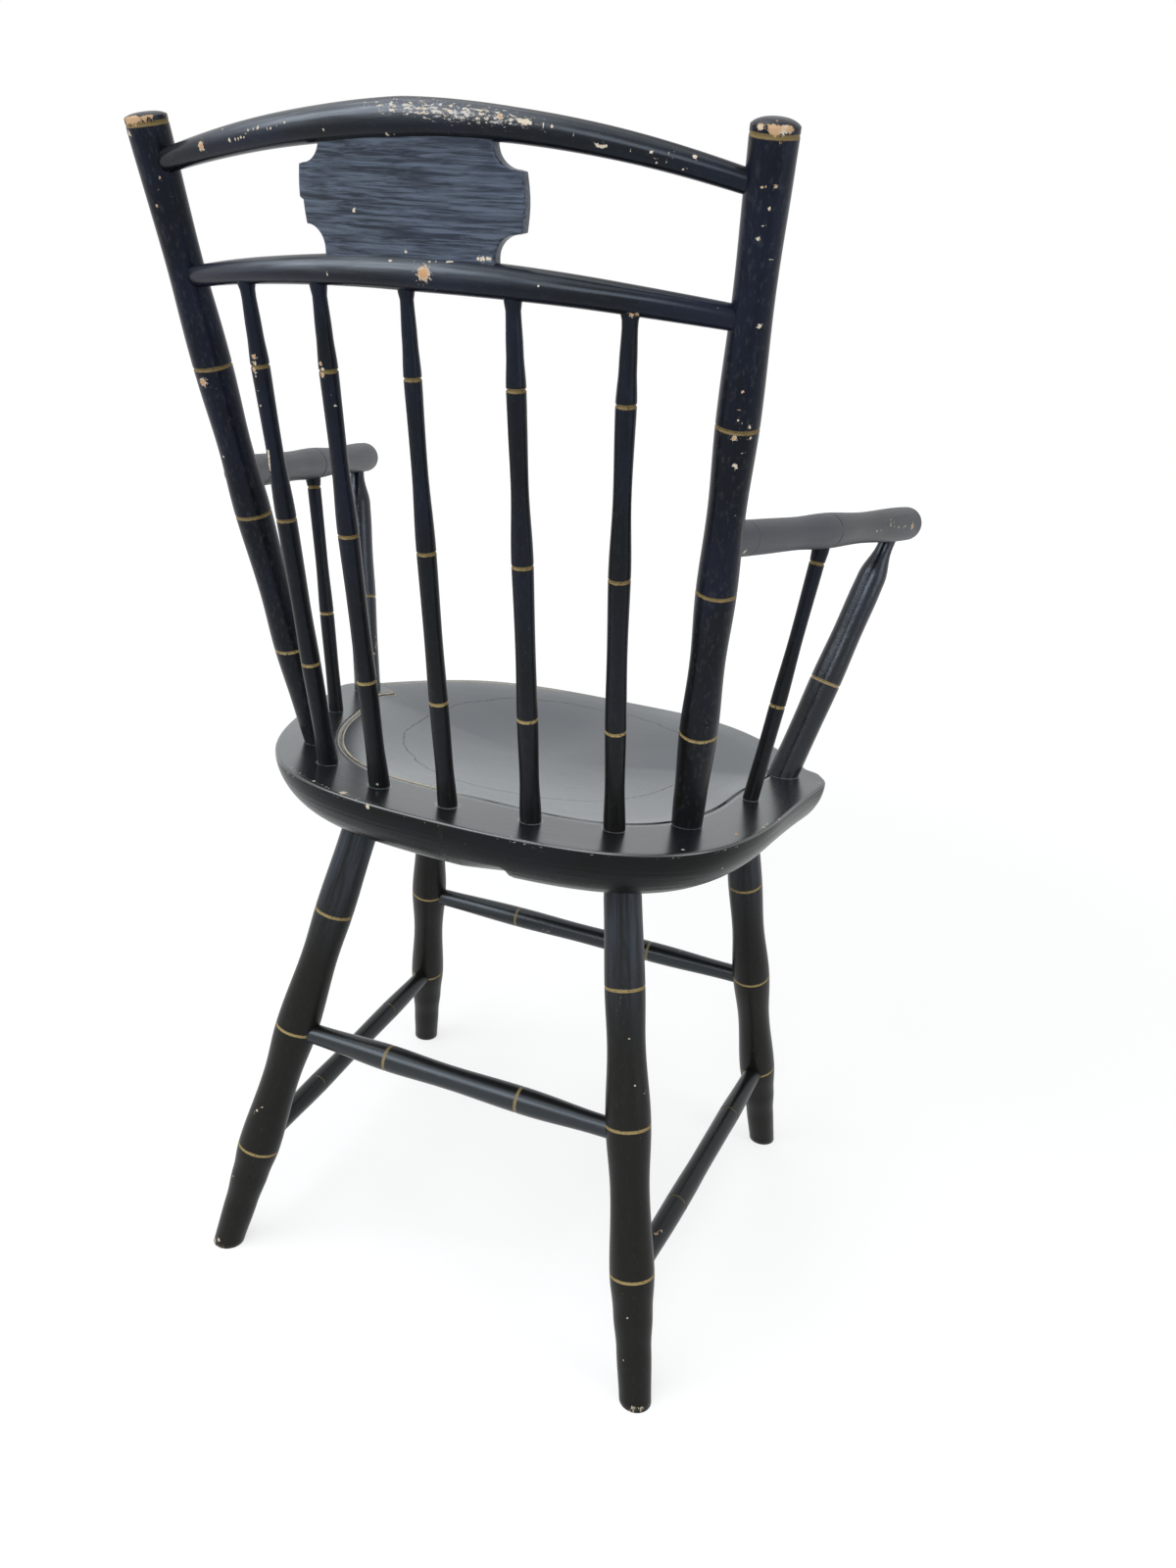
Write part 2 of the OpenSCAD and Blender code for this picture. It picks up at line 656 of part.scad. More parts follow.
module leg(side, rear) {
    top = leg_top(side, rear);
    foot = leg_foot(side, rear);
    len = norm(foot - top);
    stations = [
        [-leg_socket_depth, leg_tenon_d],
        [2, leg_tenon_d],
        [0.07 * len, mix(leg_tenon_d, leg_waist_d, 0.8)],
        [leg_rings[0] * len, leg_top_ring_d, true],
        [0.32 * len, leg_waist_d],
        [leg_rings[1] * len, leg_mid_ring_d, true],
        [0.6 * len, leg_low_waist_d],
        [leg_rings[2] * len, leg_low_ring_d, true],
        [0.83 * len, mix(leg_low_ring_d, leg_foot_d, 0.45)],
        [0.9 * len, leg_foot_d + 1.2],
        [len + leg_foot_d, leg_foot_d]];
    color(paint)
        difference() {
            turned(top, foot, stations, turn = 180);
            translate([foot.x, foot.y, -leg_foot_d * 2])
                cube([leg_foot_d * 4, leg_foot_d * 4, leg_foot_d * 4], center = true);
            if (rear)
                stretcher_bore(rear_ends, side);
            else
                stretcher_bore(front_ends, side);
            stretcher_bore(side_ends(side), rear ? 1 : -1);
        }
}

// Ends of the stretchers on the axes of their legs
front_ends = [leg_at(right, false, front_stretcher_z), leg_at(left, false, front_stretcher_z)];
rear_ends = [leg_at(right, true, rear_stretcher_z), leg_at(left, true, rear_stretcher_z)];
function side_ends(side) =
    [leg_at(side, false, side_stretcher_front_z), leg_at(side, true, side_stretcher_rear_z)];
stretcher_short = 3;

// Socket in a leg for the stretcher's second end where which is 1, or its first end where it is -1
module stretcher_bore(ends, which) {
    near = which > 0 ? ends[1] : ends[0];
    far = which > 0 ? ends[0] : ends[1];
    along(near, far)
        translate([0, 0, stretcher_short - end_gap])
            rotate([0, 0, seam_turn])
                cylinder(d = stretcher_end_d + 2 * fit_gap, h = leg_mid_ring_d);
}

module stretcher(ends, ring_share, ring_d) {
    len = norm(ends[1] - ends[0]);
    stations = [
        [stretcher_short, stretcher_end_d],
        [leg_mid_ring_d / 2 + 2, stretcher_end_d],
        [ring_share * len, ring_d, true],
        [0.5 * len, mix(ring_d, stretcher_end_d, 0.45)],
        [(1 - ring_share) * len, ring_d, true],
        [len - leg_mid_ring_d / 2 - 2, stretcher_end_d],
        [len - stretcher_short, stretcher_end_d]];
    color(paint)
        turned(ends[0], ends[1], stations);
}

seat();
post(left);  // post_left
post(right);  // post_right
crest_rail();
lower_rail();
tablet();
spindle(-2);  // spindle_1
spindle(-1);  // spindle_2
spindle(0);  // spindle_3
spindle(1);  // spindle_4
spindle(2);  // spindle_5
arm(left);  // arm_left
arm(right);  // arm_right
arm_support(left);  // arm_support_left
arm_support(right);  // arm_support_right
arm_spindle(left);  // arm_spindle_left
arm_spindle(right);  // arm_spindle_right
leg(left, false);  // leg_front_left
leg(right, false);  // leg_front_right
leg(left, true);  // leg_rear_left
leg(right, true);  // leg_rear_right
stretcher(front_ends, 0.297, front_stretcher_d);  // stretcher_front
stretcher(rear_ends, 0.304, rear_stretcher_d);  // stretcher_rear
stretcher(side_ends(left), 0.286, side_stretcher_d);  // stretcher_left
stretcher(side_ends(right), 0.286, side_stretcher_d);  // stretcher_right
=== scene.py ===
import math
import random

import bmesh
import bpy
import numpy as np
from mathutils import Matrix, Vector
from mathutils.bvhtree import BVHTree


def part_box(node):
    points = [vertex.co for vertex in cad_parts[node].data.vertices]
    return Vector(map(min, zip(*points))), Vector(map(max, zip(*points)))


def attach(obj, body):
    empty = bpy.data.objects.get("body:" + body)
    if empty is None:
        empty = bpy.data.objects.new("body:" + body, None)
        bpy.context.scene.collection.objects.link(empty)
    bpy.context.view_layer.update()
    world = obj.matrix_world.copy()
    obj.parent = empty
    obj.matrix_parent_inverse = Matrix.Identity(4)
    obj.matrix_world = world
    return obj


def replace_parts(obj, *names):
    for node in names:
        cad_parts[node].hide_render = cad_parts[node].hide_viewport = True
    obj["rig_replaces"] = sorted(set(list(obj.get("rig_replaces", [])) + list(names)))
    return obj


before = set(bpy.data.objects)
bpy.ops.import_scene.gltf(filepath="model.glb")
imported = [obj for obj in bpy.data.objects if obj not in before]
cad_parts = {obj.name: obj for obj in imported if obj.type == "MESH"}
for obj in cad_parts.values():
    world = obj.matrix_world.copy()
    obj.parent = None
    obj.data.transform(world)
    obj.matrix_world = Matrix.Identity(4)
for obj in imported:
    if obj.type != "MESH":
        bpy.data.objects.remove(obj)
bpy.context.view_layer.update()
print("frame loaded:", len(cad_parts), "nodes")

# Shapes are worked out in millimetres, as the chair was drawn, and makePiece turns them into metres.
mm = 0.001
left = 1
right = -1
sides = {"Left": left, "Right": right}
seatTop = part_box("seat")[1].z / mm
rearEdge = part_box("seat")[1].y / mm


def mix(a, b, t):
    return a + (b - a) * t


def ease(t):
    return (1 - np.cos(np.pi * np.clip(t, 0, 1))) / 2


def unit(v):
    return v / np.linalg.norm(v)


def units(rows):
    return rows / np.linalg.norm(rows, axis=1)[:, None]


def at(x, forward, rise):
    return np.array([x, rearEdge - forward, seatTop + rise])


def varied(look, **changes):
    return {**look, **changes}


# How far along its path each point lies, for one path or a sheet of them side by side
def distanceAlong(path):
    steps = np.linalg.norm(np.diff(path, axis=0), axis=-1)
    return np.concatenate([0 * steps[:1], np.cumsum(steps, axis=0)])


def show(thing):
    bpy.context.scene.collection.objects.link(thing)


# Quads between the closed loops of a grid, with a fan to one extra point at each end
def loopFaces(rows, columns):
    faces = []
    for row in range(rows - 1):
        for column in range(columns):
            a = row * columns + column
            b = row * columns + (column + 1) % columns
            faces.append((a, b, b + columns, a + columns))
    firstTip = rows * columns
    last = (rows - 1) * columns
    for column in range(columns):
        after = (column + 1) % columns
        faces.append((firstTip, after, column))
        faces.append((firstTip + 1, last + column, last + after))
    return faces


def addMark(mesh, mark, values):
    kind, key = ("FLOAT_VECTOR", "vector") if values.ndim == 2 else ("FLOAT", "value")
    layer = mesh.attributes.new(mark, kind, "POINT")
    layer.data.foreach_set(key, values.astype(np.float32).ravel())


pieces = {}


# A piece is a grid of points in closed loops and a tip at each end. Its marks, which the paint reads, lie
# over the same grid. At the tips they have the mean of the end loops, unless tipMarks gives them.
def makePiece(name, node, points, tips, marks, tipMarks=None):
    mesh = bpy.data.meshes.new(name)
    allPoints = np.concatenate([points.reshape(-1, 3), tips])
    mesh.from_pydata((allPoints * mm).tolist(), [], loopFaces(*points.shape[:2]))
    tidy = bmesh.new()
    tidy.from_mesh(mesh)
    bmesh.ops.recalc_face_normals(tidy, faces=tidy.faces)
    tidy.to_mesh(mesh)
    tidy.free()
    mesh.polygons.foreach_set("use_smooth", [True] * len(mesh.polygons))
    for mark, values in marks.items():
        ends = tipMarks[mark] if tipMarks else [values[0].mean(0), values[-1].mean(0)]
        addMark(mesh, mark, np.concatenate([values.reshape(-1, *values.shape[2:]), ends]))
    piece = bpy.data.objects.new(name, mesh)
    show(piece)
    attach(piece, "root")
    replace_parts(piece, node)
    pieces[name] = piece
    return piece


# How far the old hand work strays from the drawing, in mm toward +X unless it says otherwise.
# A stick's drift is given where it starts, in the middle and at its end, its rings' moves along it.
handWork = {
    "drifts": {
        "spindle1": (1.9, 3.1, 0.2), "spindle2": (-2.3, -0.2, 1.4), "spindle3": (-0.1, 1.9, 2.1),
        "spindle4": (0.0, 0.6, 1.2), "spindle5": (-2.4, -0.4, 0.4), "postLeft": (-7.5, -0.9, 0.6),
        "legRearLeft": (-2.7, -0.8, 0.3), "supportLeft": (3.4, 2.0, 1.0), "supportRight": (1.7, 1.1, 0.9),
        "armSpindleLeft": (-0.6, -0.6, -0.6), "armSpindleRight": (0.6, 0.6, 0.6),
    },
    "ringMoves": {
        "spindle1": (-3.3, -2.3, 0.0), "spindle2": (-1.3, -1.3, 0.0), "spindle3": (-0.3, -2.0, -0.7),
        "spindle4": (3.0, 1.3, 0.0), "spindle5": (2.7, 4.3, 1.0), "postLeft": (2.6, 2.1, 1.3, 0.0),
        "postRight": (-2.6, -2.6, -1.3, 0.0), "legRearLeft": (4.6, 5.1, 5.5),
        "legRearRight": (0.8, -0.4, 0.0), "legFrontRight": (-3.0, -3.0, -1.7),
        "legFrontLeft": (-3.0, -2.5, -3.8), "armSpindleLeft": (4.0, 1.7), "armSpindleRight": (-3.8, -1.0),
        "supportLeft": (1.9,), "supportRight": (-1.6,),
    },
    # Shares of the drawn thickness at the foot and at the head
    "spindleSizes": {"spindle1": (1.03, 1.01), "spindle2": (1.0, 0.95), "spindle3": (0.93, 0.86),
                     "spindle4": (1.0, 0.95), "spindle5": (1.0, 0.97)},
    "postStretch": {left: -1.5, right: 0.8}, "capRise": {left: -0.5, right: 0.8},
    "armRise": {left: -1.3, right: 1.8},
    "seatRearShift": -10.0, "seatFrontShift": -2.0, "seatLeftTrim": 2.6, "seatRightGrow": 2.6,
}


def driftAtRoot(name):
    return np.array([handWork["drifts"].get(name, (0, 0, 0))[0], 0, 0])


# Turned sticks. A stick's size gives its stations: root in mm from its start, profile in shares of its
# length, tip in mm past its end. A station is (place, diameter), and a scored ring's has its depth too.
turningLook = {
    "step": 4.0, "leastStep": 0.15, "sides": 44, "leastRadius": 0.02, "endOn": 0.9,
    "scoreWidth": 2.2, "scoreDepth": 0.7, "scoreSteps": 13, "scoreReach": 1.7,
    "bow": 0.7, "leastBow": 0.4, "outOfRound": 0.011, "chatter": 0.05, "endFade": 12,
    "ovalWave": (90, 200), "lobeWave": (18, 30), "chatterWave": (9, 14),
    "domeTurns": (4, 88, 20), "domeShape": (0.6, 0.6), "footCut": 26,
}


def radiusAlong(stations, s):
    marks, sizes, scores = np.array(stations).T
    i = np.clip(np.searchsorted(marks, s, side="right") - 1, 0, len(marks) - 2)
    radius = mix(sizes[i], sizes[i + 1], ease((s - marks[i]) / (marks[i + 1] - marks[i]))) / 2
    for place, score in zip(marks, scores):
        if score:
            groove = 1 - np.abs(s - place) / (turningLook["scoreWidth"] / 2)
            radius = radius - score * turningLook["scoreDepth"] * ease(groove)
    return radius


def stationsOf(name, size, length):
    atRoot, atTip = handWork["spindleSizes"].get(name, (1, 1))
    moves = iter(handWork["ringMoves"].get(name, ()))
    stations = []
    for part, offset, scale in (("root", 0, 1), ("profile", 0, length), ("tip", length, 1)):
        for share, across, *score in size[part]:
            place = offset + share * scale
            across = mix(atRoot, atTip, place / length) * across
            stations.append((place + next(moves, 0), across, score[0]) if score else (place, across, 0))
    return stations


# span is the length that the profile's shares are of, where it isn't the stick's own.
def turnedStick(name, node, start, end, size, worn=None, span=None):
    look = turningLook
    draw = random.Random(name)
    axis = unit(end - start)
    length = np.linalg.norm(end - start)
    stations = stationsOf(name, size, span or length)
    sideways = unit(np.cross(axis, [0.0, 1.0, 0.0] if abs(axis[1]) < look["endOn"] else [1.0, 0.0, 0.0]))
    upright = np.cross(axis, sideways)
    first, last = stations[0][0], stations[-1][0]
    rings = [place for place, across, score in stations if score]
    places = list(np.linspace(first, last, int((last - first) / look["step"]) + 2))
    for ring in rings:
        places += list(ring + np.linspace(-look["scoreReach"], look["scoreReach"], look["scoreSteps"]))
    places = np.unique(np.clip(np.round(places, 2), first, last))
    places = places[np.concatenate([[True], np.diff(places) > look["leastStep"]])]
    radii = radiusAlong(stations, places)
    dome = size.get("dome")
    if dome:
        turns = np.radians(np.linspace(*look["domeTurns"]))
        outward, inward = size.get("domeShape", look["domeShape"])
        places = np.concatenate([places, last + dome * np.sin(turns) ** outward])
        radii = np.concatenate([radii, radii[-1] * np.cos(turns) ** inward])
    angles = np.linspace(0, 2 * np.pi, look["sides"], endpoint=False)
    s, angle = np.meshgrid(places, angles, indexing="ij")
    inSight = ease(np.minimum(s, length - s) / look["endFade"])
    thick = radii.max()
    oval = np.sin(2 * angle + draw.uniform(0, 6) + s / draw.uniform(*look["ovalWave"]))
    uneven = thick * look["outOfRound"] * oval
    uneven += look["chatter"] * np.sin(3 * angle + draw.uniform(0, 6) + s / draw.uniform(*look["lobeWave"]))
    uneven += look["chatter"] * np.sin(s / draw.uniform(*look["chatterWave"]) + draw.uniform(0, 6))
    uneven = uneven * inSight * np.minimum(radii / thick, 1)[:, None]
    radius = np.maximum(radii[:, None] + uneven, look["leastRadius"])
    # No old stick is quite straight.
    bowAngle = draw.uniform(0, 2 * np.pi)
    share = np.clip(s / length, 0, 1)
    bow = look["bow"] * draw.uniform(look["leastBow"], 1) * np.sin(np.pi * share)
    across = radius * np.cos(angle) + bow * math.cos(bowAngle)
    aside = radius * np.sin(angle) + bow * math.sin(bowAngle)
    if name in handWork["drifts"]:
        atStart, inMiddle, atEnd = handWork["drifts"][name]
        drift = (atStart * (1 - share) * (1 - 2 * share) + inMiddle * 4 * share * (1 - share)
                 + atEnd * share * (2 * share - 1))
        across, aside = across + drift * sideways[0], aside + drift * upright[0]
    if size.get("cutAtFloor"):
        # The last stretch is sheared so that the foot stands flat on the floor.
        cutFrom = length - look["footCut"]
        drop = (start[2] + across * sideways[2] + aside * upright[2]) / -axis[2]
        share = np.clip((s - cutFrom) / (places[-1] - cutFrom), 0, 1)
        s = np.where(s > cutFrom, mix(cutFrom, drop, share), s)
    points = start + s[..., None] * axis + across[..., None] * sideways + aside[..., None] * upright
    tips = [points[0].mean(0), points[-1].mean(0) + (axis * look["leastRadius"] if dome else 0)]
    fromRing = s[..., None] - np.array(rings)
    nearest = np.take_along_axis(fromRing, np.abs(fromRing).argmin(-1)[..., None], -1)[..., 0]
    marks = {
        "ring": nearest * mm, "ringGap": np.abs(nearest) * mm,
        "worn": worn(s, angle, length) if worn else 0 * s,
        "grain": np.stack([across, aside, s], -1) * mm,
    }
    return makePiece(name, node, points, tips, marks)


# Posts
postSize = {
    "in": 51.5, "forward": 95.5, "rise": 408, "splay": 32.5, "rake": 122,
    "root": ((-28, 22), (3, 22), (24, 22.64)),
    "profile": ((0.188, 25.4, 1), (0.31, 22.8), (0.432, 25.4, 1), (0.5505, 22.8), (0.669, 25.4, 1),
                (0.8345, 22.8)),
    "capHeight": 6.5, "capSide": 3.6, "capLine": (24.9, 0.4), "capTop": 24.8, "domeShape": (1.5, 0.8),
    "bare": 0.40, "bareFrom": 0.9, "bareOver": 1.2, "crownFrom": 0.3, "crownOver": 0.4, "crownKept": 0.7,
}
seatSize = {
    "width": 450, "rearWidth": 414, "depth": 384, "cornerBack": 245, "sideBack": 148,
    "thickness": 44, "bevel": 44, "arris": 1.6, "earRound": 8, "leftBevelShape": 0.82,
    "rimRear": 53, "rimSide": 43, "scoreWidth": 3, "scoreDepth": 1.3, "scoreRound": 0.8,
    "saddleDepth": 14, "saddleBack": 0.52, "dishShape": 2.2, "frontDrop": 4.5, "frontRoll": 11,
    "frontRim": 13, "dipHalf": 150, "lipTurn": 85, "rimEnd": 16, "rimFade": 12,
}
halfRear = seatSize["rearWidth"] / 2
halfFront = seatSize["width"] / 2
saddleCentre = np.array([0.0, -seatSize["saddleBack"] * seatSize["depth"]])


def sideX(forward):
    lean = (halfFront - halfRear) / (seatSize["cornerBack"] - seatSize["sideBack"])
    return halfRear + lean * (forward - seatSize["sideBack"])


def postAt(side, rise):
    share = rise / postSize["rise"]
    foot = at(side * (halfRear - postSize["in"] + postSize["splay"] * share), postSize["forward"], 0)
    return foot + np.array([0, postSize["rake"], postSize["rise"]]) * share


def makePost(side, name, node):
    size = postSize
    stretch = handWork["postStretch"][side]
    crownHeight = size["capHeight"] + handWork["capRise"][side] - size["capSide"]

    # The corner of the cap is rubbed through in patches, its crown hardly.
    def capWear(s, angle, length):
        up = s - (length + stretch)
        crownFrom = size["capSide"] + size["crownFrom"] * crownHeight
        crown = ease((up - crownFrom) / (size["crownOver"] * crownHeight))
        corner = ease((up - size["bareFrom"]) / size["bareOver"])
        return size["bare"] * corner * (1 - size["crownKept"] * crown)

    tip = ((stretch, *size["capLine"]), (stretch + size["capSide"], size["capTop"]))
    return turnedStick(name, node, postAt(side, 0), postAt(side, size["rise"]),
                       varied(size, tip=tip, dome=crownHeight), capWear)


for word, side in sides.items():
    makePost(side, "post" + word, "post_" + word.lower())
print("posts turned")

# Bent rails. A wear place is (share of the half length, its reach, the angle it faces from level, how bare).
railLook = {
    "sections": 150, "sides": 36, "power": 1.85, "taper": 1.15, "tenonIn": 1.008, "tangentStep": 0.004,
    "endGain": 3, "flats": 0.005, "oval": 0.008, "ovalWave": 60, "shave": 0.08, "shaveWave": 17,
    # Where the pale band along the back of each rail faces and how far it spreads: a painted highlight,
    # partly a rubbed haze
    "hazeFacing": 21, "hazeSpread": 24,
}
railSize = {
    "crest": {"height": 386, "bow": 37, "lift": 20.5, "middle": 19.4, "end": 12.8, "haze": (0.12, 0.50),
              "sway": 1.6, "endShares": (1.0, 0.91),
              "wear": ((-0.13, 0.3, 62, 0.34), (0.4, 0.35, 80, 0.2), (-0.6, 0.3, 70, 0.22))},
    "lower": {"height": 325.5, "bow": 43.5, "lift": 9.2, "middle": 18.6, "end": 12.8, "haze": (0.18, 0.48),
              "sway": 0, "endShares": (0.94, 1.04), "wear": ((0.0, 0.35, 75, 0.2),)},
}


def railAt(size, u):
    end = postAt(left, size["height"])
    arch = 1 - np.abs(u) ** railLook["power"]
    return np.stack([u * end[0], end[1] + size["bow"] * arch, end[2] + size["lift"] * arch], -1)


def bentRail(name, node, size):
    look = railLook
    draw = random.Random(name)
    u = np.linspace(-look["tenonIn"], look["tenonIn"], look["sections"])
    centres = railAt(size, u)
    centres[:, 2] -= size["sway"] * np.sin(np.pi * np.clip(u, -1, 1))
    tangents = units(railAt(size, u + look["tangentStep"]) - railAt(size, u - look["tangentStep"]))
    backward = np.cross([0.0, 0.0, 1.0], tangents)
    backward = units(backward * np.sign(backward[:, 1:2]))
    upward = np.cross(tangents, backward)
    upward *= np.sign(upward[:, 2:])
    angles = np.linspace(0, 2 * np.pi, look["sides"], endpoint=False)
    s, angle = np.meshgrid(distanceAlong(centres), angles, indexing="ij")
    radius = mix(size["middle"], size["end"], np.abs(u) ** look["taper"])[:, None] / 2
    leftShare, rightShare = size["endShares"]
    uneven = (np.clip(look["endGain"] * u, 0, 1) * (leftShare - 1)
              + np.clip(-look["endGain"] * u, 0, 1) * (rightShare - 1))
    radius = radius * (1 + uneven)[:, None]
    # The bent rail was shaved by hand, so it is a little flat on four sides.
    oval = np.sin(2 * angle + s / look["ovalWave"] + draw.uniform(0, 6))
    radius = radius * (1 + look["flats"] * np.cos(4 * angle) + look["oval"] * oval)
    radius = radius + look["shave"] * np.sin(s / look["shaveWave"] + 3 * angle + draw.uniform(0, 6))
    across, aside = radius * np.cos(angle), radius * np.sin(angle)
    points = centres[:, None] + across[..., None] * backward[:, None] + aside[..., None] * upward[:, None]
    wear = np.zeros_like(s)
    for middle, width, facing, strength in size["wear"]:
        reach = np.exp(-((u - middle) / width) ** 2)[:, None]
        turned = np.clip(np.cos(angle - math.radians(facing)), 0, 1) ** 2
        wear = np.maximum(wear, strength * reach * turned)
    # A streaky pale band along the back of the rail, where the lamps' highlight falls: mostly a painted
    # highlight, partly a rubbed haze.
    hazeMiddle, hazeReach = size["haze"]
    fromFacing = (np.degrees(angle) - look["hazeFacing"] + 180) % 360 - 180
    haze = np.exp(-((u - hazeMiddle) / hazeReach) ** 2)[:, None]
    haze = haze * np.exp(-(fromFacing / look["hazeSpread"]) ** 2)
    marks = {"worn": wear, "haze": haze, "grain": np.stack([across, aside, s], -1) * mm}
    return makePiece(name, node, points, centres[[0, -1]], marks)


bentRail("crestRail", "crest_rail", railSize["crest"])
bentRail("lowerRail", "lower_rail", railSize["lower"])
print("rails bent")

# Tablet between the rails
tabletSize = {
    "width": 133, "thickness": 8.6, "cove": 12, "step": 2.6, "swell": 1.4, "tongue": 4.5, "arris": 1.3,
    "rows": 90, "columns": 64, "arrisSteps": 5, "shoulder": 0.8, "shoulderRows": (-1.2, 1.2, 9),
    "chipTop": 0.43, "chipDepth": 2.4, "chipEnd": 0.03, "edgeWear": 0.5, "edgeReach": 1.2, "edgeLimit": 20,
    "scraped": (0.16, 13, 31, 9, 1.3), "warped": (0.1, 27, 17), "faceWithin": 0.2,
}
lowerHalf = postAt(left, railSize["lower"]["height"])[0]


def makeTablet():
    size = tabletSize
    foot = railAt(railSize["lower"], np.array([0.0]))[0]
    head = railAt(railSize["crest"], np.array([0.0]))[0]
    span = np.linalg.norm(head - foot)
    up = unit(head - foot)
    back = np.array([0.0, up[2], -up[1]])
    half = size["width"] / 2
    sag = railSize["lower"]["bow"] * (half / lowerHalf) ** railLook["power"]
    bend = (half * half + sag * sag) / (2 * sag)
    low = railSize["lower"]["middle"] / 2
    high = span - railSize["crest"]["middle"] / 2
    cove, arris = size["cove"], size["arris"]
    coveX = half - size["step"]

    # Half width at a height: scooped corners, then a square shoulder out to a gently swollen side.
    def halfWidth(z, side):
        fromEnd = np.minimum(z - low, high - z)
        scoop = coveX - np.sqrt(np.clip(cove ** 2 - np.clip(fromEnd, 0, cove) ** 2, 0, None))
        t = np.clip((z - low - cove) / (high - low - 2 * cove), 0, 1)
        straight = half + size["swell"] * np.sin(np.pi * t)
        # A sliver has split off the lower half of the left-hand side.
        if side == left:
            straight = straight - size["chipDepth"] * ease((size["chipTop"] - t) / size["chipEnd"])
        shoulder = mix(coveX, straight, ease((fromEnd - cove) / size["shoulder"]))
        return np.where(fromEnd < cove, scoop, shoulder)

    heights = list(np.linspace(low - size["tongue"], high + size["tongue"], size["rows"]))
    for shoulder in (low + cove, high - cove):
        heights += list(shoulder + np.linspace(*size["shoulderRows"]))
    heights = np.unique(np.round(heights, 2))
    thick = size["thickness"] / 2
    turns = np.radians(np.linspace(0, 90, size["arrisSteps"]))
    across = np.linspace(-1, 1, size["columns"])
    depth = thick - arris + arris * np.cos(turns)
    loops = []
    for z in heights:
        rightHalf, leftHalf = halfWidth(z, right), halfWidth(z, left)
        flat = np.where(across < 0, across * (rightHalf - arris), across * (leftHalf - arris))
        roundLeft = leftHalf - arris + arris * np.sin(turns)
        roundRight = -rightHalf + arris - arris * np.sin(turns)
        x = np.concatenate([flat, roundLeft[1:], roundLeft[::-1], flat[::-1][1:], roundRight[1:],
                            roundRight[::-1][:-1]])
        y = np.concatenate([np.full_like(flat, thick), depth[1:], -depth[::-1],
                            np.full(len(flat) - 1, -thick), -depth[1:], depth[::-1][:-1]])
        loops.append(np.stack([x, y, np.full_like(x, z)], -1))
    x, y, z = np.moveaxis(np.array(loops), -1, 0)
    depth, waveX, waveZ, crossWave, phase = size["scraped"]
    handShaved = depth * np.sin(x / waveX + z / waveZ) * np.sin(z / crossWave + phase)
    depth, waveX, waveZ = size["warped"]
    handShaved = handShaved + depth * np.sin(x / waveX - z / waveZ)
    y = y + np.where(np.abs(y) > thick - size["faceWithin"], np.sign(y) * handShaved, 0)
    curved = np.sqrt((bend + y) ** 2 - x ** 2) - bend
    points = foot + x[..., None] * np.array([1.0, 0, 0]) + curved[..., None] * back + z[..., None] * up
    sideHere = np.where(x > 0, halfWidth(z, left), halfWidth(z, right))
    edge = np.minimum(np.abs(np.abs(x) - sideHere), size["edgeLimit"])
    edgeWear = size["edgeWear"] * np.exp(-edge / size["edgeReach"])
    marks = {"worn": edgeWear, "grain": np.stack([z, y, x], -1) * mm}
    tips = [points[0].mean(0), points[-1].mean(0)]
    return makePiece("tabletBoard", "tablet", points, tips, marks)


makeTablet()
print("tablet shaped")

# Back spindles
spindleSize = {
    "pitch": 58.5, "forward": 31.5, "curve": 26, "topPitch": 61, "root": ((-28, 15), (2, 15)),
    "profile": ((0.1, 13.3), (0.237, 14, 1), (0.38, 13.0), (0.543, 13.9, 1), (0.69, 11.0), (0.84, 12, 1),
                (0.9, 10.08)),
    "top": 8.8, "pastAxis": 2, "fillet": 2.6, "filletFrom": 4.5, "intoRail": 0.8,
}


def spindleBase(k):
    return at(k * spindleSize["pitch"], spindleSize["forward"] + spindleSize["curve"] * k * k / 4, 0)


def spindleTop(k):
    return railAt(railSize["lower"], np.array([k * spindleSize["topPitch"] / lowerHalf]))[0]


def makeSpindle(k, name, node):
    size, rail = spindleSize, railSize["lower"]
    outward = (abs(k) * size["topPitch"] / lowerHalf) ** railLook["taper"]
    underRail = size["intoRail"] - mix(rail["middle"], rail["end"], outward) / 2
    tip = ((underRail - size["filletFrom"], size["top"]), (underRail, size["top"] + size["fillet"]),
           (size["pastAxis"], size["top"]))
    return turnedStick(name, node, spindleBase(k), spindleTop(k), varied(size, tip=tip))


for number in range(1, 6):
    makeSpindle(number - 3, f"spindle{number}", f"spindle_{number}")
print("spindles turned")

# Arms and what stands under them
armSize = {
    "height": 206, "splay": 74.5, "reach": 281, "drop": 7.5, "dome": 8, "bare": 0.30, "bareFrom": 0.93,
    "root": ((-1.5, 22.6), (25, 22.3, 0.3)),
    "profile": ((0.14, 22.2), (0.31, 21.8), (0.49, 24.4, 0.7), (0.68, 22.2), (0.92, 25.8)),
    "tip": ((-8, 25.4),),
}
supportSize = {
    "in": 32, "forward": 244.5, "along": 264, "root": ((-28, 23.4), (3, 23.4)),
    "profile": ((0.2, 23.2), (0.392, 24.2, 1), (0.6, 22.2)),
    "tip": ((-58.9, 22.6), (-42.9, 21.8), (-15.9, 12.2), (2, 12.2)),
}
shortSize = {
    "in": 28.5, "forward": 172, "along": 141.5, "root": ((-28, 12), (2, 12)),
    "profile": ((0.2, 11.2), (0.39, 11.8, 1), (0.62, 10), (0.9, 10.8, 1)),
    "tip": ((-12.9, 12), (2, 12)),
}


def armRoot(side):
    return postAt(side, armSize["height"])


def armTip(side):
    return armRoot(side) + np.array([side * armSize["splay"], -armSize["reach"], -armSize["drop"]])


armLength = np.linalg.norm(armTip(left) - armRoot(left))


# Hands have rubbed the front end of the arm.
def handWear(s, angle, length):
    bareFrom = armLength * armSize["bareFrom"]
    return armSize["bare"] * ease((s - bareFrom) / (armLength - bareFrom))


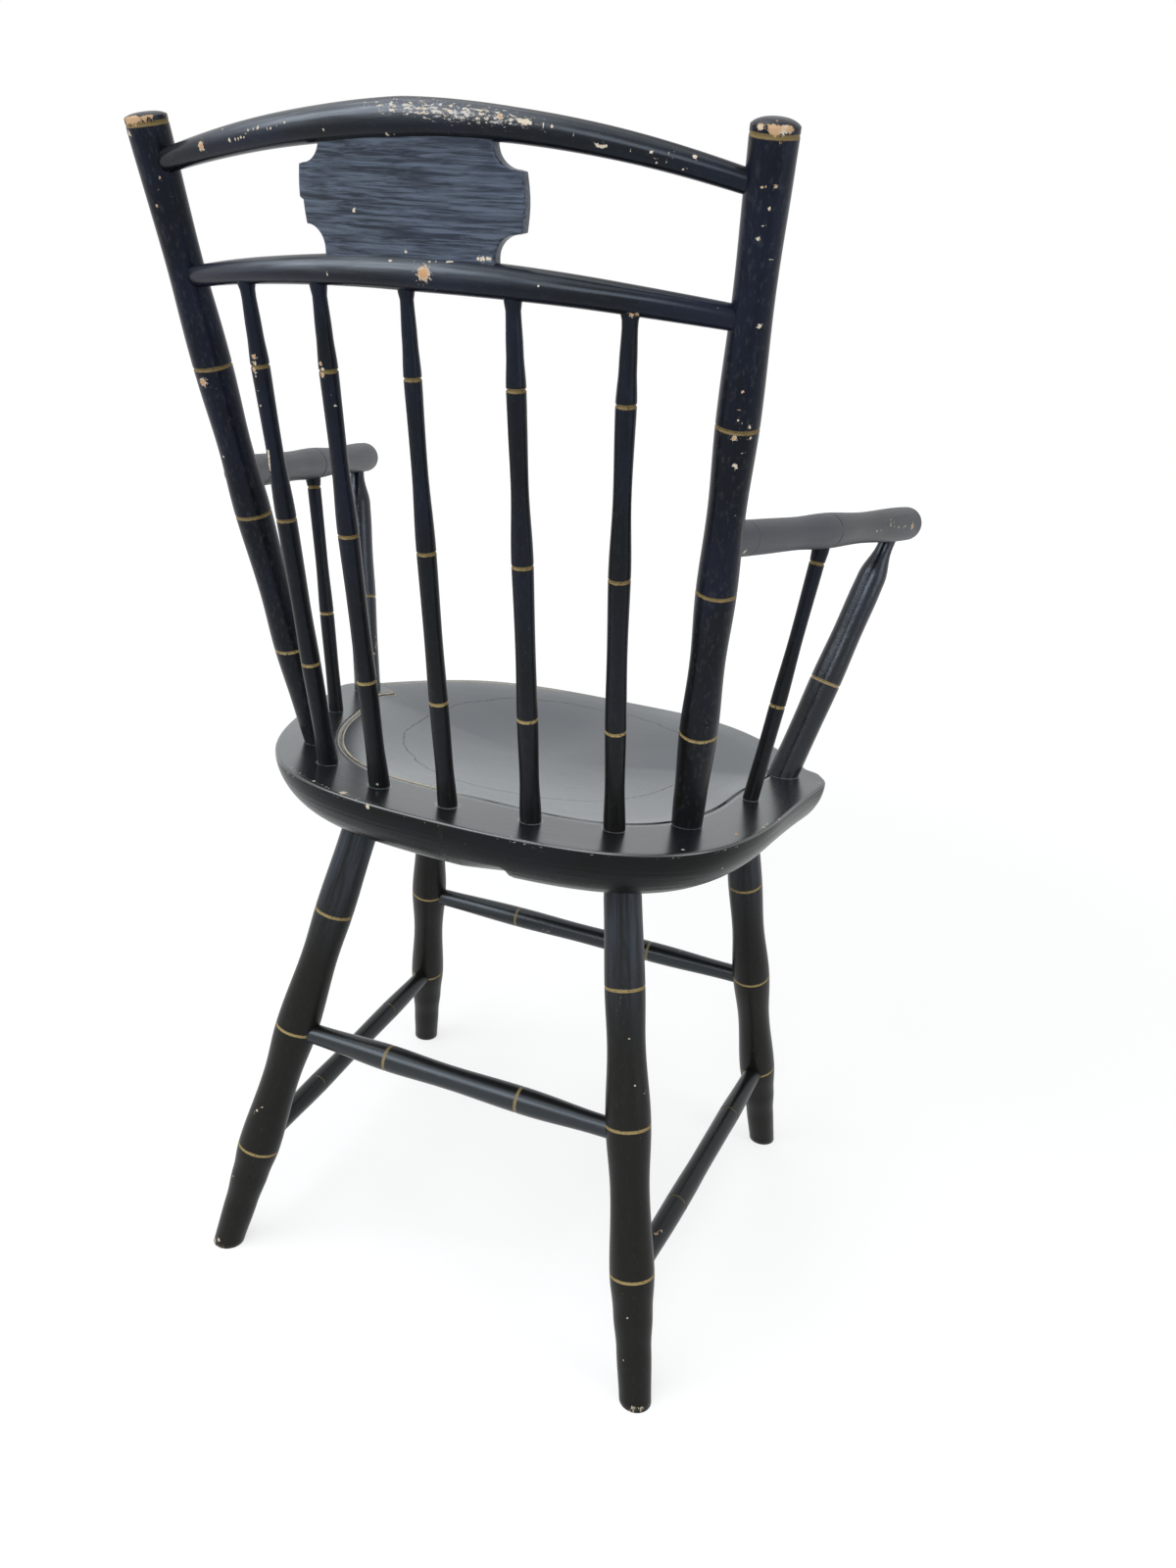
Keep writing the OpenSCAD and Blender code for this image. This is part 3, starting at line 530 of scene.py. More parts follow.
def baseUnderArm(side, size):
    return at(side * (sideX(size["forward"]) - size["in"]), size["forward"], 0)


def makeUnderArm(side, name, node, size):
    end = mix(armRoot(side), armTip(side), size["along"] / armLength)
    return turnedStick(name, node, baseUnderArm(side, size), end, size)


for word, side in sides.items():
    lifted = armTip(side) + np.array([0, 0, handWork["armRise"][side]])
    turnedStick("arm" + word, "arm_" + word.lower(), armRoot(side), lifted, armSize, handWear, armLength)
    makeUnderArm(side, "support" + word, "arm_support_" + word.lower(), supportSize)
    makeUnderArm(side, "armSpindle" + word, "arm_spindle_" + word.lower(), shortSize)
print("arms and their sticks turned")

# Legs and stretchers
legSize = {
    "frontIn": 75, "frontBack": 97, "rearIn": 98.5, "rearForward": 103,
    "frontSplay": 50, "frontRake": -109, "rearSplay": 81, "rearRake": 77, "cutAtFloor": True,
    "root": ((-25, 26), (2, 26)),
    "profile": ((0.07, 28.72), (0.22, 31, 1), (0.32, 29.4), (0.476, 35, 1), (0.6, 30.2), (0.754, 34.6, 1),
                (0.83, 30.64), (0.9, 27.0)),
    "tip": ((1, 25),), "bare": 0.5, "bareFrom": 3.5, "bareOver": 3,
}
# Shoes have rubbed the top of the front stretcher.
stretcherSize = {
    "front": {"height": (210.5, 210.5), "bare": 0.38,
              "profile": ((0.297, 20, 1), (0.5, 18.47), (0.703, 20, 1))},
    "rear": {"height": (205.5, 205.5), "bare": 0.0,
             "profile": ((0.304, 21.4, 1), (0.5, 19.24), (0.696, 21.4, 1))},
    "side": {"height": (99.5, 96), "bare": 0.0,
             "profile": ((0.286, 18.8, 1), (0.5, 17.81), (0.714, 18.8, 1))},
}
stretcherEnds = {
    "root": ((3, 16.6), (19.5, 16.6)), "tip": ((-19.5, 16.6), (-3, 16.6)), "bareOver": 90, "topFrom": 0.6,
    "topOver": 0.5,
}


def legTop(side, rear):
    size, under = legSize, -seatSize["thickness"]
    if rear:
        return at(side * (halfRear - size["rearIn"]), size["rearForward"], under)
    return at(side * (halfFront - size["frontIn"]), seatSize["depth"] - size["frontBack"], under)


def legFoot(side, rear):
    top = legTop(side, rear)
    place = "rear" if rear else "front"
    return np.array([top[0] + side * legSize[place + "Splay"], top[1] + legSize[place + "Rake"], 0.0])


def legAt(side, rear, height):
    return mix(legFoot(side, rear), legTop(side, rear), height / (seatTop - seatSize["thickness"]))


def footWear(s, angle, length):
    return legSize["bare"] * ease((s - length + legSize["bareFrom"]) / legSize["bareOver"])


def makeStretcher(name, node, size, start, end):
    def shoeWear(s, angle, length):
        upper = np.clip((np.abs(np.sin(angle)) - stretcherEnds["topFrom"]) / stretcherEnds["topOver"], 0, 1)
        return size["bare"] * upper * ease(np.minimum(s, length - s) / stretcherEnds["bareOver"])

    ends = [legAt(*leg, height) for leg, height in zip((start, end), size["height"])]
    return turnedStick(name, node, *ends, {**size, **stretcherEnds}, shoeWear)


for place, rear in (("Front", False), ("Rear", True)):
    for word, side in sides.items():
        turnedStick("leg" + place + word, f"leg_{place}_{word}".lower(), legTop(side, rear),
                    legFoot(side, rear), legSize, footWear)
    makeStretcher("stretcher" + place, "stretcher_" + place.lower(), stretcherSize[place.lower()],
                  (right, rear), (left, rear))
for word, side in sides.items():
    makeStretcher("stretcher" + word, "stretcher_" + word.lower(), stretcherSize["side"],
                  (side, False), (side, True))
print("legs and stretchers turned")

# Seat. Rows are counted from the middle of the underside, round the edge, to the middle of the saddle.
seatOutline = {
    "rearHandle": 0.63, "cornerHandle": (0.894, 0.2), "frontHandle": (0.785, 0.63), "noseHandle": 0.46,
    "curveSteps": 200, "earSteps": 24, "frontFrom": 0.02, "points": 420,
}
seatRows = {
    "under": 12, "underFrom": 0.86, "underTo": 0.1, "bevel": 26, "roll": 12, "rim": 14, "rimFrom": 0.08,
    "score": 12, "dish": 62, "bunch": 1.25, "far": 40.0, "middle": 150,
}
# Marks of the plane as (depth, wave across, wave back), and the step trimmed between the rear legs
seatWork = {
    "planed": (0.14, 21, 33), "phase": 0.4, "sunk": (0.1, 47, 29), "planedFrom": 12,
    "stepRise": 4.2, "stepFrom": -18, "stepOver": 35, "stepEnd": -56, "stepEdge": 3,
    "stepBack": -70, "stepSoft": 12, "stepAbove": 24, "stepFade": 14,
}


def cubic(handles, t):
    a, b, c, d = [np.array(handle, float) for handle in handles]
    t = t[:, None]
    return (1 - t) ** 3 * a + 3 * (1 - t) ** 2 * t * b + 3 * (1 - t) * t * t * c + t ** 3 * d


# The seat's outline in plan, even steps from the middle of the rear edge all the way round
def outlineOfSeat():
    size, shape = seatSize, seatOutline
    cornerX, cornerY = shape["cornerHandle"]
    frontX, frontY = shape["frontHandle"]
    sideStart = np.array([halfRear, -size["sideBack"]])
    ear = np.array([halfFront, -size["cornerBack"]])
    frontPull = np.array([frontX * halfFront, ear[1] - frontY * (size["depth"] - size["cornerBack"])])
    cornerPull = (cornerX * halfRear, -cornerY * size["sideBack"])
    rear = cubic([(0, 0), (shape["rearHandle"] * halfRear, 0), cornerPull, sideStart],
                 np.linspace(0, 1, shape["curveSteps"]))
    front = cubic([ear, frontPull, (shape["noseHandle"] * halfFront, -size["depth"]), (0, -size["depth"])],
                  np.linspace(shape["frontFrom"], 1, shape["curveSteps"]))
    before = ear + size["earRound"] * unit(sideStart - ear)
    after = ear + size["earRound"] * unit(frontPull - ear)
    t = np.linspace(0, 1, shape["earSteps"])[:, None]
    earCurve = (1 - t) ** 2 * before + 2 * t * (1 - t) * ear + t * t * after
    front = front[np.linalg.norm(front - ear, axis=1) > size["earRound"] + 0.5]
    half = np.concatenate([rear, earCurve, front])
    whole = np.concatenate([half, (half * [-1, 1])[::-1][1:]])
    steps = distanceAlong(whole)
    even = np.linspace(0, steps[-1], shape["points"], endpoint=False)
    return np.stack([np.interp(even, steps, whole[:, 0]), np.interp(even, steps, whole[:, 1])], -1), even


def makeSeat():
    size, rows, work = seatSize, seatRows, seatWork
    outline, around = outlineOfSeat()
    towardFront = ease(-outline[:, 1] / size["cornerBack"])
    trim = handWork["seatLeftTrim"] * ease(outline[:, 0] / halfRear) * (1 - towardFront)
    trim = trim + handWork["seatRightGrow"] * ease(-outline[:, 0] / halfRear) * (1 - towardFront)
    outline[:, 0] += mix(handWork["seatRearShift"], handWork["seatFrontShift"], towardFront) - trim
    x, y = outline.T
    front = ease((-y - size["cornerBack"] - size["rimEnd"]) / size["rimFade"])
    rimWidth = mix(size["rimRear"], size["rimSide"], ease(-y / size["sideBack"]))
    edgeDrop = size["frontDrop"] * ease(1 - np.abs(x) / size["dipHalf"])
    roll = mix(size["arris"], size["frontRoll"], front)
    top = -front * edgeDrop
    under = -size["thickness"]
    score = mix(rimWidth, size["frontRim"], front)
    dishFrom = score + size["scoreWidth"]
    toCentre = np.linalg.norm(saddleCentre - outline, axis=1)
    reach = toCentre - dishFrom
    inward = (saddleCentre - outline) / toCentre[:, None]
    # The lip of the dish moves out to the front edge little by little, and its slope softens there.
    lipShare = ease((-y - size["cornerBack"] + size["lipTurn"]) / (2 * size["lipTurn"]))
    lip = size["scoreWidth"] + mix(rimWidth, size["frontRim"], lipShare)

    def dishHeight(inset):
        u = np.clip((inset - lip) / (toCentre - lip), 0, 1)
        slope = mix(1 - (1 - u) ** size["dishShape"], ease(u), lipShare)
        return mix(-lipShare * edgeDrop, -size["saddleDepth"], slope)

    # A row's inset from the outline, its height, how far it is past the scored line, its share of the dish
    grid = []

    def row(inset, height, scoreOff=rows["far"], dishShare=0):
        grid.append([values + 0 * top for values in (inset, height, scoreOff, dishShare)])

    for share in np.linspace(rows["underFrom"], rows["underTo"], rows["under"]):
        row(mix(size["bevel"], toCentre, share), under)
    bevelShape = mix(1.0, size["leftBevelShape"], ease(x / halfRear) * (1 - towardFront))
    for a in np.radians(np.linspace(90, 0, rows["bevel"])):
        row(size["bevel"] * (1 - np.cos(a)) ** bevelShape, mix(top - roll, under, np.sin(a)))
    for a in np.radians(np.linspace(0, 90, rows["roll"])[1:]):
        row(roll * (1 - np.cos(a)), top - roll * (1 - np.sin(a)))
    for share in np.linspace(rows["rimFrom"], 1, rows["rim"]):
        inset = mix(roll, score, share)
        row(inset, top, inset - score - size["scoreWidth"] / 2)
    for share in np.linspace(0, 1, rows["score"])[1:]:
        depth = size["scoreDepth"] * (1 - front) * np.sin(np.pi * share) ** size["scoreRound"]
        row(score + size["scoreWidth"] * share, mix(top, dishHeight(dishFrom), ease(share)) - depth,
            (share - 0.5) * size["scoreWidth"])
    for share in np.linspace(0, 1, rows["dish"])[1:-1] ** rows["bunch"]:
        row(dishFrom + share * reach, dishHeight(dishFrom + share * reach),
            share * reach + size["scoreWidth"] / 2, share)
    inset, height, scores, dish = np.moveaxis(np.array(grid), 1, 0)
    plan = outline[None] + inset[..., None] * inward[None]
    planX, planY = plan[..., 0], plan[..., 1]
    arrisRow = rows["under"] + rows["bevel"]
    upperSide = np.arange(len(grid))[:, None] >= arrisRow
    depth, across, back = work["planed"]
    swell = depth * np.sin(planX / across + work["phase"]) * np.sin(planY / back)
    depth, across, back = work["sunk"]
    swell = swell + depth * np.sin(planX / across - planY / back)
    height = height + swell * ease(inset / work["planedFrom"]) * upperSide
    stepAt = (np.clip((work["stepFrom"] - planX) / work["stepOver"], 0, 1)
              * ease((planX - work["stepEnd"]) / work["stepEdge"])
              * ease((planY - work["stepBack"]) / work["stepSoft"]))
    lowDown = ease((-height - work["stepAbove"]) / work["stepFade"])
    height = height + work["stepRise"] * stepAt * ~upperSide * lowDown
    points = np.stack([planX, rearEdge + planY, seatTop + height], -1)
    tips = [at(0, -saddleCentre[1], under), at(0, -saddleCentre[1], -size["saddleDepth"])]
    surface = distanceAlong(points)
    arris = surface - surface[arrisRow]
    flat = 0 * height
    marks = {
        "score": scores * mm, "arris": arris * mm, "skirt": flat + ~upperSide, "saddle": dish,
        "grain": np.stack([arris, flat, flat + around], -1) * mm,
    }
    far, middle = rows["far"] * mm, rows["middle"] * mm
    tipMarks = {
        "score": [far, far], "arris": [-far, middle], "skirt": [1, 0], "saddle": [0, 1],
        "grain": [[-far, 0, 0], [middle, 0, 0]],
    }
    return makePiece("seatPlank", "seat", points, tips, marks, tipMarks)


makeSeat()
print("seat saddled")

# Every piece is set against the node that it stands for.
worthSaying = 2 * mm
furthest = 0.0
for piece in pieces.values():
    low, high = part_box(piece["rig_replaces"][0])
    spots = np.array([vertex.co for vertex in piece.data.vertices])
    apart = max(np.abs(spots.min(0) - low).max(), np.abs(spots.max(0) - high).max())
    furthest = max(furthest, apart)
    if apart > worthSaying:
        print(f"{piece.name} departs from its node by {apart / mm:.1f} mm")
print(f"pieces keep within {furthest / mm:.1f} mm of their nodes")

# Camera at the photograph's place
cameraSize = {
    "place": (-0.34789, 0.81775, 0.74935), "turn": (69.9614, -4.9686, -158.2828),
    "lens": 26.75, "sensor": 36.0, "photo": (1200, 1600), "clipStart": 0.01,
}
cameraData = bpy.data.cameras.new("camera")
cameraData.sensor_fit = "VERTICAL"
cameraData.sensor_height = cameraSize["sensor"]
cameraData.lens = cameraSize["lens"]
cameraData.clip_start = cameraSize["clipStart"]
camera = bpy.data.objects.new("camera", cameraData)
camera.location = cameraSize["place"]
camera.rotation_euler = [math.radians(turn) for turn in cameraSize["turn"]]
show(camera)
bpy.context.scene.camera = camera
bpy.context.view_layer.update()


def pixelRay(across, down):
    wide, tall = cameraSize["photo"]
    perPixel = cameraSize["sensor"] / tall / cameraSize["lens"]
    look = Vector(((across - wide / 2) * perPixel, (tall / 2 - down) * perPixel, -1))
    return (camera.matrix_world.to_3x3() @ look).normalized()


# Chips in the paint, down to the cream or the tan undercoat: (pixel across, pixel down, radius in mm)
creamChips = {
    "seatRim": [(350, 809, 2.6), (375, 823, 1.8), (320, 797, 1.17), (306, 789, 0.72), (298, 783, 0.64),
        (333, 803, 0.64), (360, 813, 0.64), (697, 867, 1.09), (522, 854, 0.64), (779, 844, 1.17),
        (783, 840, 0.8), (795, 836, 0.8), (836, 799, 0.94), (737, 886, 0.64)],
    "crestHook": [(606, 145, 0.8), (609, 148, 0.94), (614, 150, 0.94), (618, 149, 0.72)],
    "crestRight": [(665, 155, 0.8), (709, 160, 1.25), (706, 158, 0.72), (670, 166, 0.56), (697, 173, 0.48)],
    "crestLeft": [(234, 143, 0.86), (243, 141, 0.64), (249, 140, 0.64), (253, 133, 0.72), (263, 130, 0.94),
        (276, 131, 0.64), (290, 125, 0.64), (330, 132, 0.56), (227, 132, 0.56)],
    "crestSeam": [(395, 137, 0.94), (400, 137, 0.8)],
    "crestFleck": [(535, 124, 1.72), (530, 123, 1.09), (541, 125, 0.94), (563, 129, 0.8)],
    "tablet": [(361, 215, 1.01), (414, 257, 0.64), (398, 266, 0.94), (438, 267, 0.64), (457, 267, 0.86),
        (461, 267, 0.72), (488, 264, 0.94), (493, 264, 1.25), (499, 264, 1.09)],
    "lowerRail": [(333, 277, 0.56), (334, 280, 0.56), (549, 292, 0.56)],
    "posts": [(132, 136, 1.4), (775, 333, 1.25), (228, 466, 0.72), (785, 213, 0.8), (773, 244, 0.86),
        (753, 429, 0.64), (765, 436, 1.01), (766, 447, 0.94), (749, 475, 1.01), (752, 478, 0.8)],
    "legs": [(642, 1060, 0.64), (648, 1108, 0.72), (640, 1345, 0.72), (636, 1388, 0.64), (223, 1265, 1.56),
        (262, 1133, 1.09), (268, 1130, 0.72), (238, 1200, 0.72)],
    "arms": [(760, 563, 1.56), (895, 542, 0.8), (909, 530, 0.64), (909, 536, 0.72), (917, 538, 0.86),
        (924, 537, 0.8)],
    "stretchers": [(694, 970, 0.94), (664, 961, 0.8)],
    "spindles": [(385, 800, 0.8), (266, 414, 0.64), (261, 384, 0.64), (342, 414, 0.72), (329, 377, 1.01),
        (260, 371, 1.01)],
    "spindleStrip": [(273.6, 460, 0.9), (274.2, 466, 1.0), (274.6, 472, 1.17), (275.2, 478, 1.0),
        (276, 484, 0.8)],
}
tanChips = {
    "posts": [(207, 390, 2.7), (778, 191, 0.7), (792, 190, 0.9), (749, 447, 1.48), (758, 400, 0.72),
        (163, 181, 0.64), (160, 210, 0.64)],
    "crest": [(205, 149, 2.34), (510, 119, 1.48)],
    "lowerRail": [(432, 279, 4.0), (645, 320, 1.72), (650, 321, 1.09)],
    "spindles": [(259, 364, 1.56), (259, 377, 1.25), (327, 371, 1.25), (329, 383, 1.33)],
    "supports": [(384, 657, 1.25), (382, 667, 1.17), (383, 650, 0.94)],
    "armTip": [(931, 537, 2.34)],
    "stretchers": [(669, 1259, 1.25), (675, 1256, 1.09)],
    "seatRim": [(752, 851, 1.48)],
}
# Rubbed places, broken up by the flaking of the paint: (pixel across, pixel down, reach in mm, how bare)
rubbedPlaces = {
    "capLeft": [(130, 123, 4.2, 0.95), (137, 122, 4.2, 0.9), (147, 119.5, 3.6, 0.85), (154, 119, 2.8, 0.7)],
    "capRight": [(790, 131, 3.8, 0.95), (799, 132, 3.8, 0.95), (806, 131, 3.0, 0.85), (775, 130, 3.2, 0.9),
        (792, 123.5, 2.4, 0.7)],
    "crestMiddle": [(372, 107, 6.0, 0.44), (386, 107, 7.0, 0.50), (401, 108, 7.5, 0.56),
        (416, 109, 7.5, 0.60), (431, 110, 7.5, 0.62), (446, 112, 7.5, 0.62), (461, 114, 7.5, 0.63),
        (476, 116, 7.5, 0.64), (491, 117, 7.0, 0.64), (506, 119, 6.5, 0.64), (521, 121, 6.0, 0.60),
        (536, 124, 5.5, 0.54), (552, 127, 6.0, 0.42)],
    "crestEnds": [(614, 137, 8.0, 0.30), (690, 160, 12.0, 0.26), (262, 130, 12.0, 0.28),
        (330, 113, 9.0, 0.26)],
    "armTip": [(899, 541, 4.0, 0.45), (910, 537, 5.0, 0.42), (921, 537, 5.0, 0.46), (931, 537, 4.0, 0.62)],
    "belowCaps": [(795, 146, 6.0, 0.33), (140, 133, 5.0, 0.33)],
    "spindleRings": [(260, 371, 5.0, 0.42), (329, 377, 5.0, 0.42)],
    "legScratch": [(262, 1133, 9.0, 0.30)],
}


# The surface place under each mark's pixel, by piece
def placesUnder(marked):
    depsgraph = bpy.context.evaluated_depsgraph_get()
    trees = {name: BVHTree.FromObject(piece, depsgraph) for name, piece in pieces.items()}
    found = {name: [] for name in pieces}
    spots = [(label, *spot) for label, group in marked.items() for spot in group]
    for label, across, down, reach, *more in spots:
        hits = []
        for name, tree in trees.items():
            place, *facing, distance = tree.ray_cast(camera.location, pixelRay(across, down))
            if place:
                hits.append((distance, name, place))
        if hits:
            distance, name, place = min(hits, key=lambda hit: hit[0])
            found[name].append((np.array(place), reach * mm, *more))
        else:
            print("no piece under mark", label)
    return found


def vertexPlaces(mesh):
    points = np.zeros(len(mesh.vertices) * 3)
    mesh.vertices.foreach_get("co", points)
    return points.reshape(-1, 3)


# Each vertex keeps its offset from the nearest chip, in radii, so the chip's edge is exact between vertices.
noChip = 9.0


def markChips(mark, chips):
    for name, spots in placesUnder(chips).items():
        mesh = pieces[name].data
        points = vertexPlaces(mesh)
        offsets = np.full(points.shape, noChip)
        for place, radius in spots:
            apart = (points - place) / radius
            closer = np.linalg.norm(apart, axis=1) < np.linalg.norm(offsets, axis=1)
            offsets[closer] = apart[closer]
        addMark(mesh, mark, offsets)


def rubPlaces(rubbed):
    for name, spots in placesUnder(rubbed).items():
        mesh = pieces[name].data
        if not spots or "worn" not in mesh.attributes:
            continue
        points = vertexPlaces(mesh)
        worn = np.zeros(len(points))
        mesh.attributes["worn"].data.foreach_get("value", worn)
        for place, reach, bare in spots:
            worn = np.maximum(worn, bare * np.exp(-(np.linalg.norm(points - place, axis=1) / reach) ** 2))
        mesh.attributes["worn"].data.foreach_set("value", worn.astype(np.float32))


markChips("creamChip", creamChips)
markChips("tanChip", tanChips)
rubPlaces(rubbedPlaces)
print("chips and rubbed places set")


# One socket of a material. Its operators add Math nodes, so shader maths reads as plain expressions.
class Wire:
    def __init__(self, bench, socket):
        self.bench = bench
        self.socket = socket

    def __add__(self, other):
        return self.bench.maths("ADD", self, other)

    __radd__ = __add__

    def __sub__(self, other):
        return self.bench.maths("SUBTRACT", self, other)

    def __rsub__(self, other):
        return self.bench.maths("SUBTRACT", other, self)

    def __mul__(self, other):
        return self.bench.maths("MULTIPLY", self, other)

    __rmul__ = __mul__

    def __abs__(self):
        return self.bench.maths("ABSOLUTE", self)


# Where the nodes of one material or of the world are put together
class Bench:
    def __init__(self, owner):
        owner.use_nodes = True
        self.tree = owner.node_tree
        self.tree.nodes.clear()

    def add(self, kind, settings=None, inputs=None, output=0):
        node = self.tree.nodes.new("ShaderNode" + kind)
        for key, value in (settings or {}).items():
            setattr(node, key, value)
        for key, value in (inputs or {}).items():
            if isinstance(value, Wire):
                self.tree.links.new(value.socket, node.inputs[key])
            else:
                node.inputs[key].default_value = value
        return Wire(self, node.outputs[output]) if len(node.outputs) else None

    def maths(self, operation, *values, clamp=False):
        return self.add("Math", {"operation": operation, "use_clamp": clamp}, dict(enumerate(values)))

    def vectors(self, operation, *values, output=0):
        return self.add("VectorMath", {"operation": operation}, dict(enumerate(values)), output)

    def mark(self, name, output="Fac"):
        return self.add("Attribute", {"attribute_name": name}, output=output)

    def part(self, vector, axis):
        return self.add("SeparateXYZ", {}, {0: vector}, axis)

    # The grain mark runs lengthwise in its last part, so a small scale there draws the noise out.
    def drawnOut(self, vector, lengthwise):
        return self.vectors("MULTIPLY", vector, (1.0, 1.0, lengthwise))

    def noise(self, vector, scale, detail=3.0, roughness=0.55, waves=0.0):
        return self.add("TexNoise", {}, {"Vector": vector, "Scale": scale, "Detail": detail,
                                         "Roughness": roughness, "Distortion": waves})

    # 0 below low, 1 above high, smooth between
    def band(self, value, low, high):
        return self.add("MapRange", {"interpolation_type": "SMOOTHSTEP"},
                        {"Value": value, "From Min": low, "From Max": high})

    # 1 below low, 0 above high, smooth between
    def within(self, value, low, high):
        return 1 - self.band(value, low, high)

    def blend(self, share, first, second):
        return self.add("Mix", {"data_type": "RGBA"}, {0: share, 6: first, 7: second}, output=2)

    def larger(self, *values):
        largest, *others = values
        for other in others:
            largest = self.maths("MAXIMUM", largest, other)
        return largest

    def size(self, vector):
        return self.vectors("LENGTH", vector, output="Value")

    def distance(self, vector, spot):
        return self.vectors("DISTANCE", vector, spot, output="Value")


def colour(red, green, blue):
    return (red, green, blue, 1.0)


# Old black paint. Each group of pieces has its own look beside the call that makes its finish.
paintTones = {
    "black": colour(0.0022, 0.0026, 0.0038), "blue": colour(0.0040, 0.0054, 0.0125),
    "olive": colour(0.0078, 0.0070, 0.0052), "dust": colour(0.10, 0.105, 0.105),
    "mustard": colour(0.132, 0.093, 0.034), "gilt": colour(0.24, 0.178, 0.075),
    "cream": colour(0.44, 0.38, 0.30), "tan": colour(0.36, 0.205, 0.100), "grime": colour(0.20, 0.20, 0.185),
    # The two pale tones on the next line are partly painted light: sheen on the tablet, the legs' tops and
    # the seat's dish, and a highlight band on the rails.
    "bloom": colour(0.085, 0.104, 0.140), "haze": colour(0.155, 0.170, 0.192),
}
# Noise as (scale, detail, roughness), but the looks give the scales of streak, stroke and flake. A "Draw" is
# how far a noise is drawn out along the grain.
paintGrain = {
    "streak": (4.0, 0.6), "cloud": (14.0, 3.0), "fine": (900.0, 2.0), "ragged": (420.0, 4.0, 0.7),
    "scuffDraw": 0.25, "scuff": (160.0, 5.0, 0.75), "peelDraw": 0.45, "peel": (380.0, 3.0, 0.6),
    "strokeDraw": 0.06, "stroke": (5.0, 0.65, 0.5), "flake": (6.0, 0.72), "speck": (640.0, 2.0, 0.5),
    "speckPlace": (26.0, 2.0), "jagged": (800.0, 4.0, 0.7), "under": (150.0, 3.0),
}
# How much each of these adds, to a share, to the roughness, to the relief or to a chip's outline
paintShares = {
    "scuff": 0.5, "scuffEdge": 0.06, "cloudRough": 0.16, "scuffRough": 0.2, "strokeLeast": 0.1,
    "giltWander": 0.9 * mm, "giltDrift": 0.8 * mm, "giltCore": 0.65, "giltMottle": 1.4, "giltRough": 0.18,
    "giltRelief": 0.03, "speckEdge": 0.02, "jagged": 3.2, "bareRough": 0.3,
}
# Where each mask of the paint goes from none to full
paintBands = {
    "blue": (0.38, 0.66), "scuffPlace": (0.4, 0.62), "mottle": (0.52, 0.68), "stroke": (0.36, 0.66),
    "hazeStreak": (0.34, 0.62), "giltEnd": (3.0 * mm, 4.0 * mm), "giltKept": (0.36, 0.44),
    "giltTone": (0.1, 0.9), "flaked": (0.77, 0.81), "rubbed": (0.02, 0.12), "speckPlace": (0.5, 0.7),
    "cream": (0.86, 1.0), "tan": (0.88, 1.0), "tanRim": (0.60, 0.80),
}


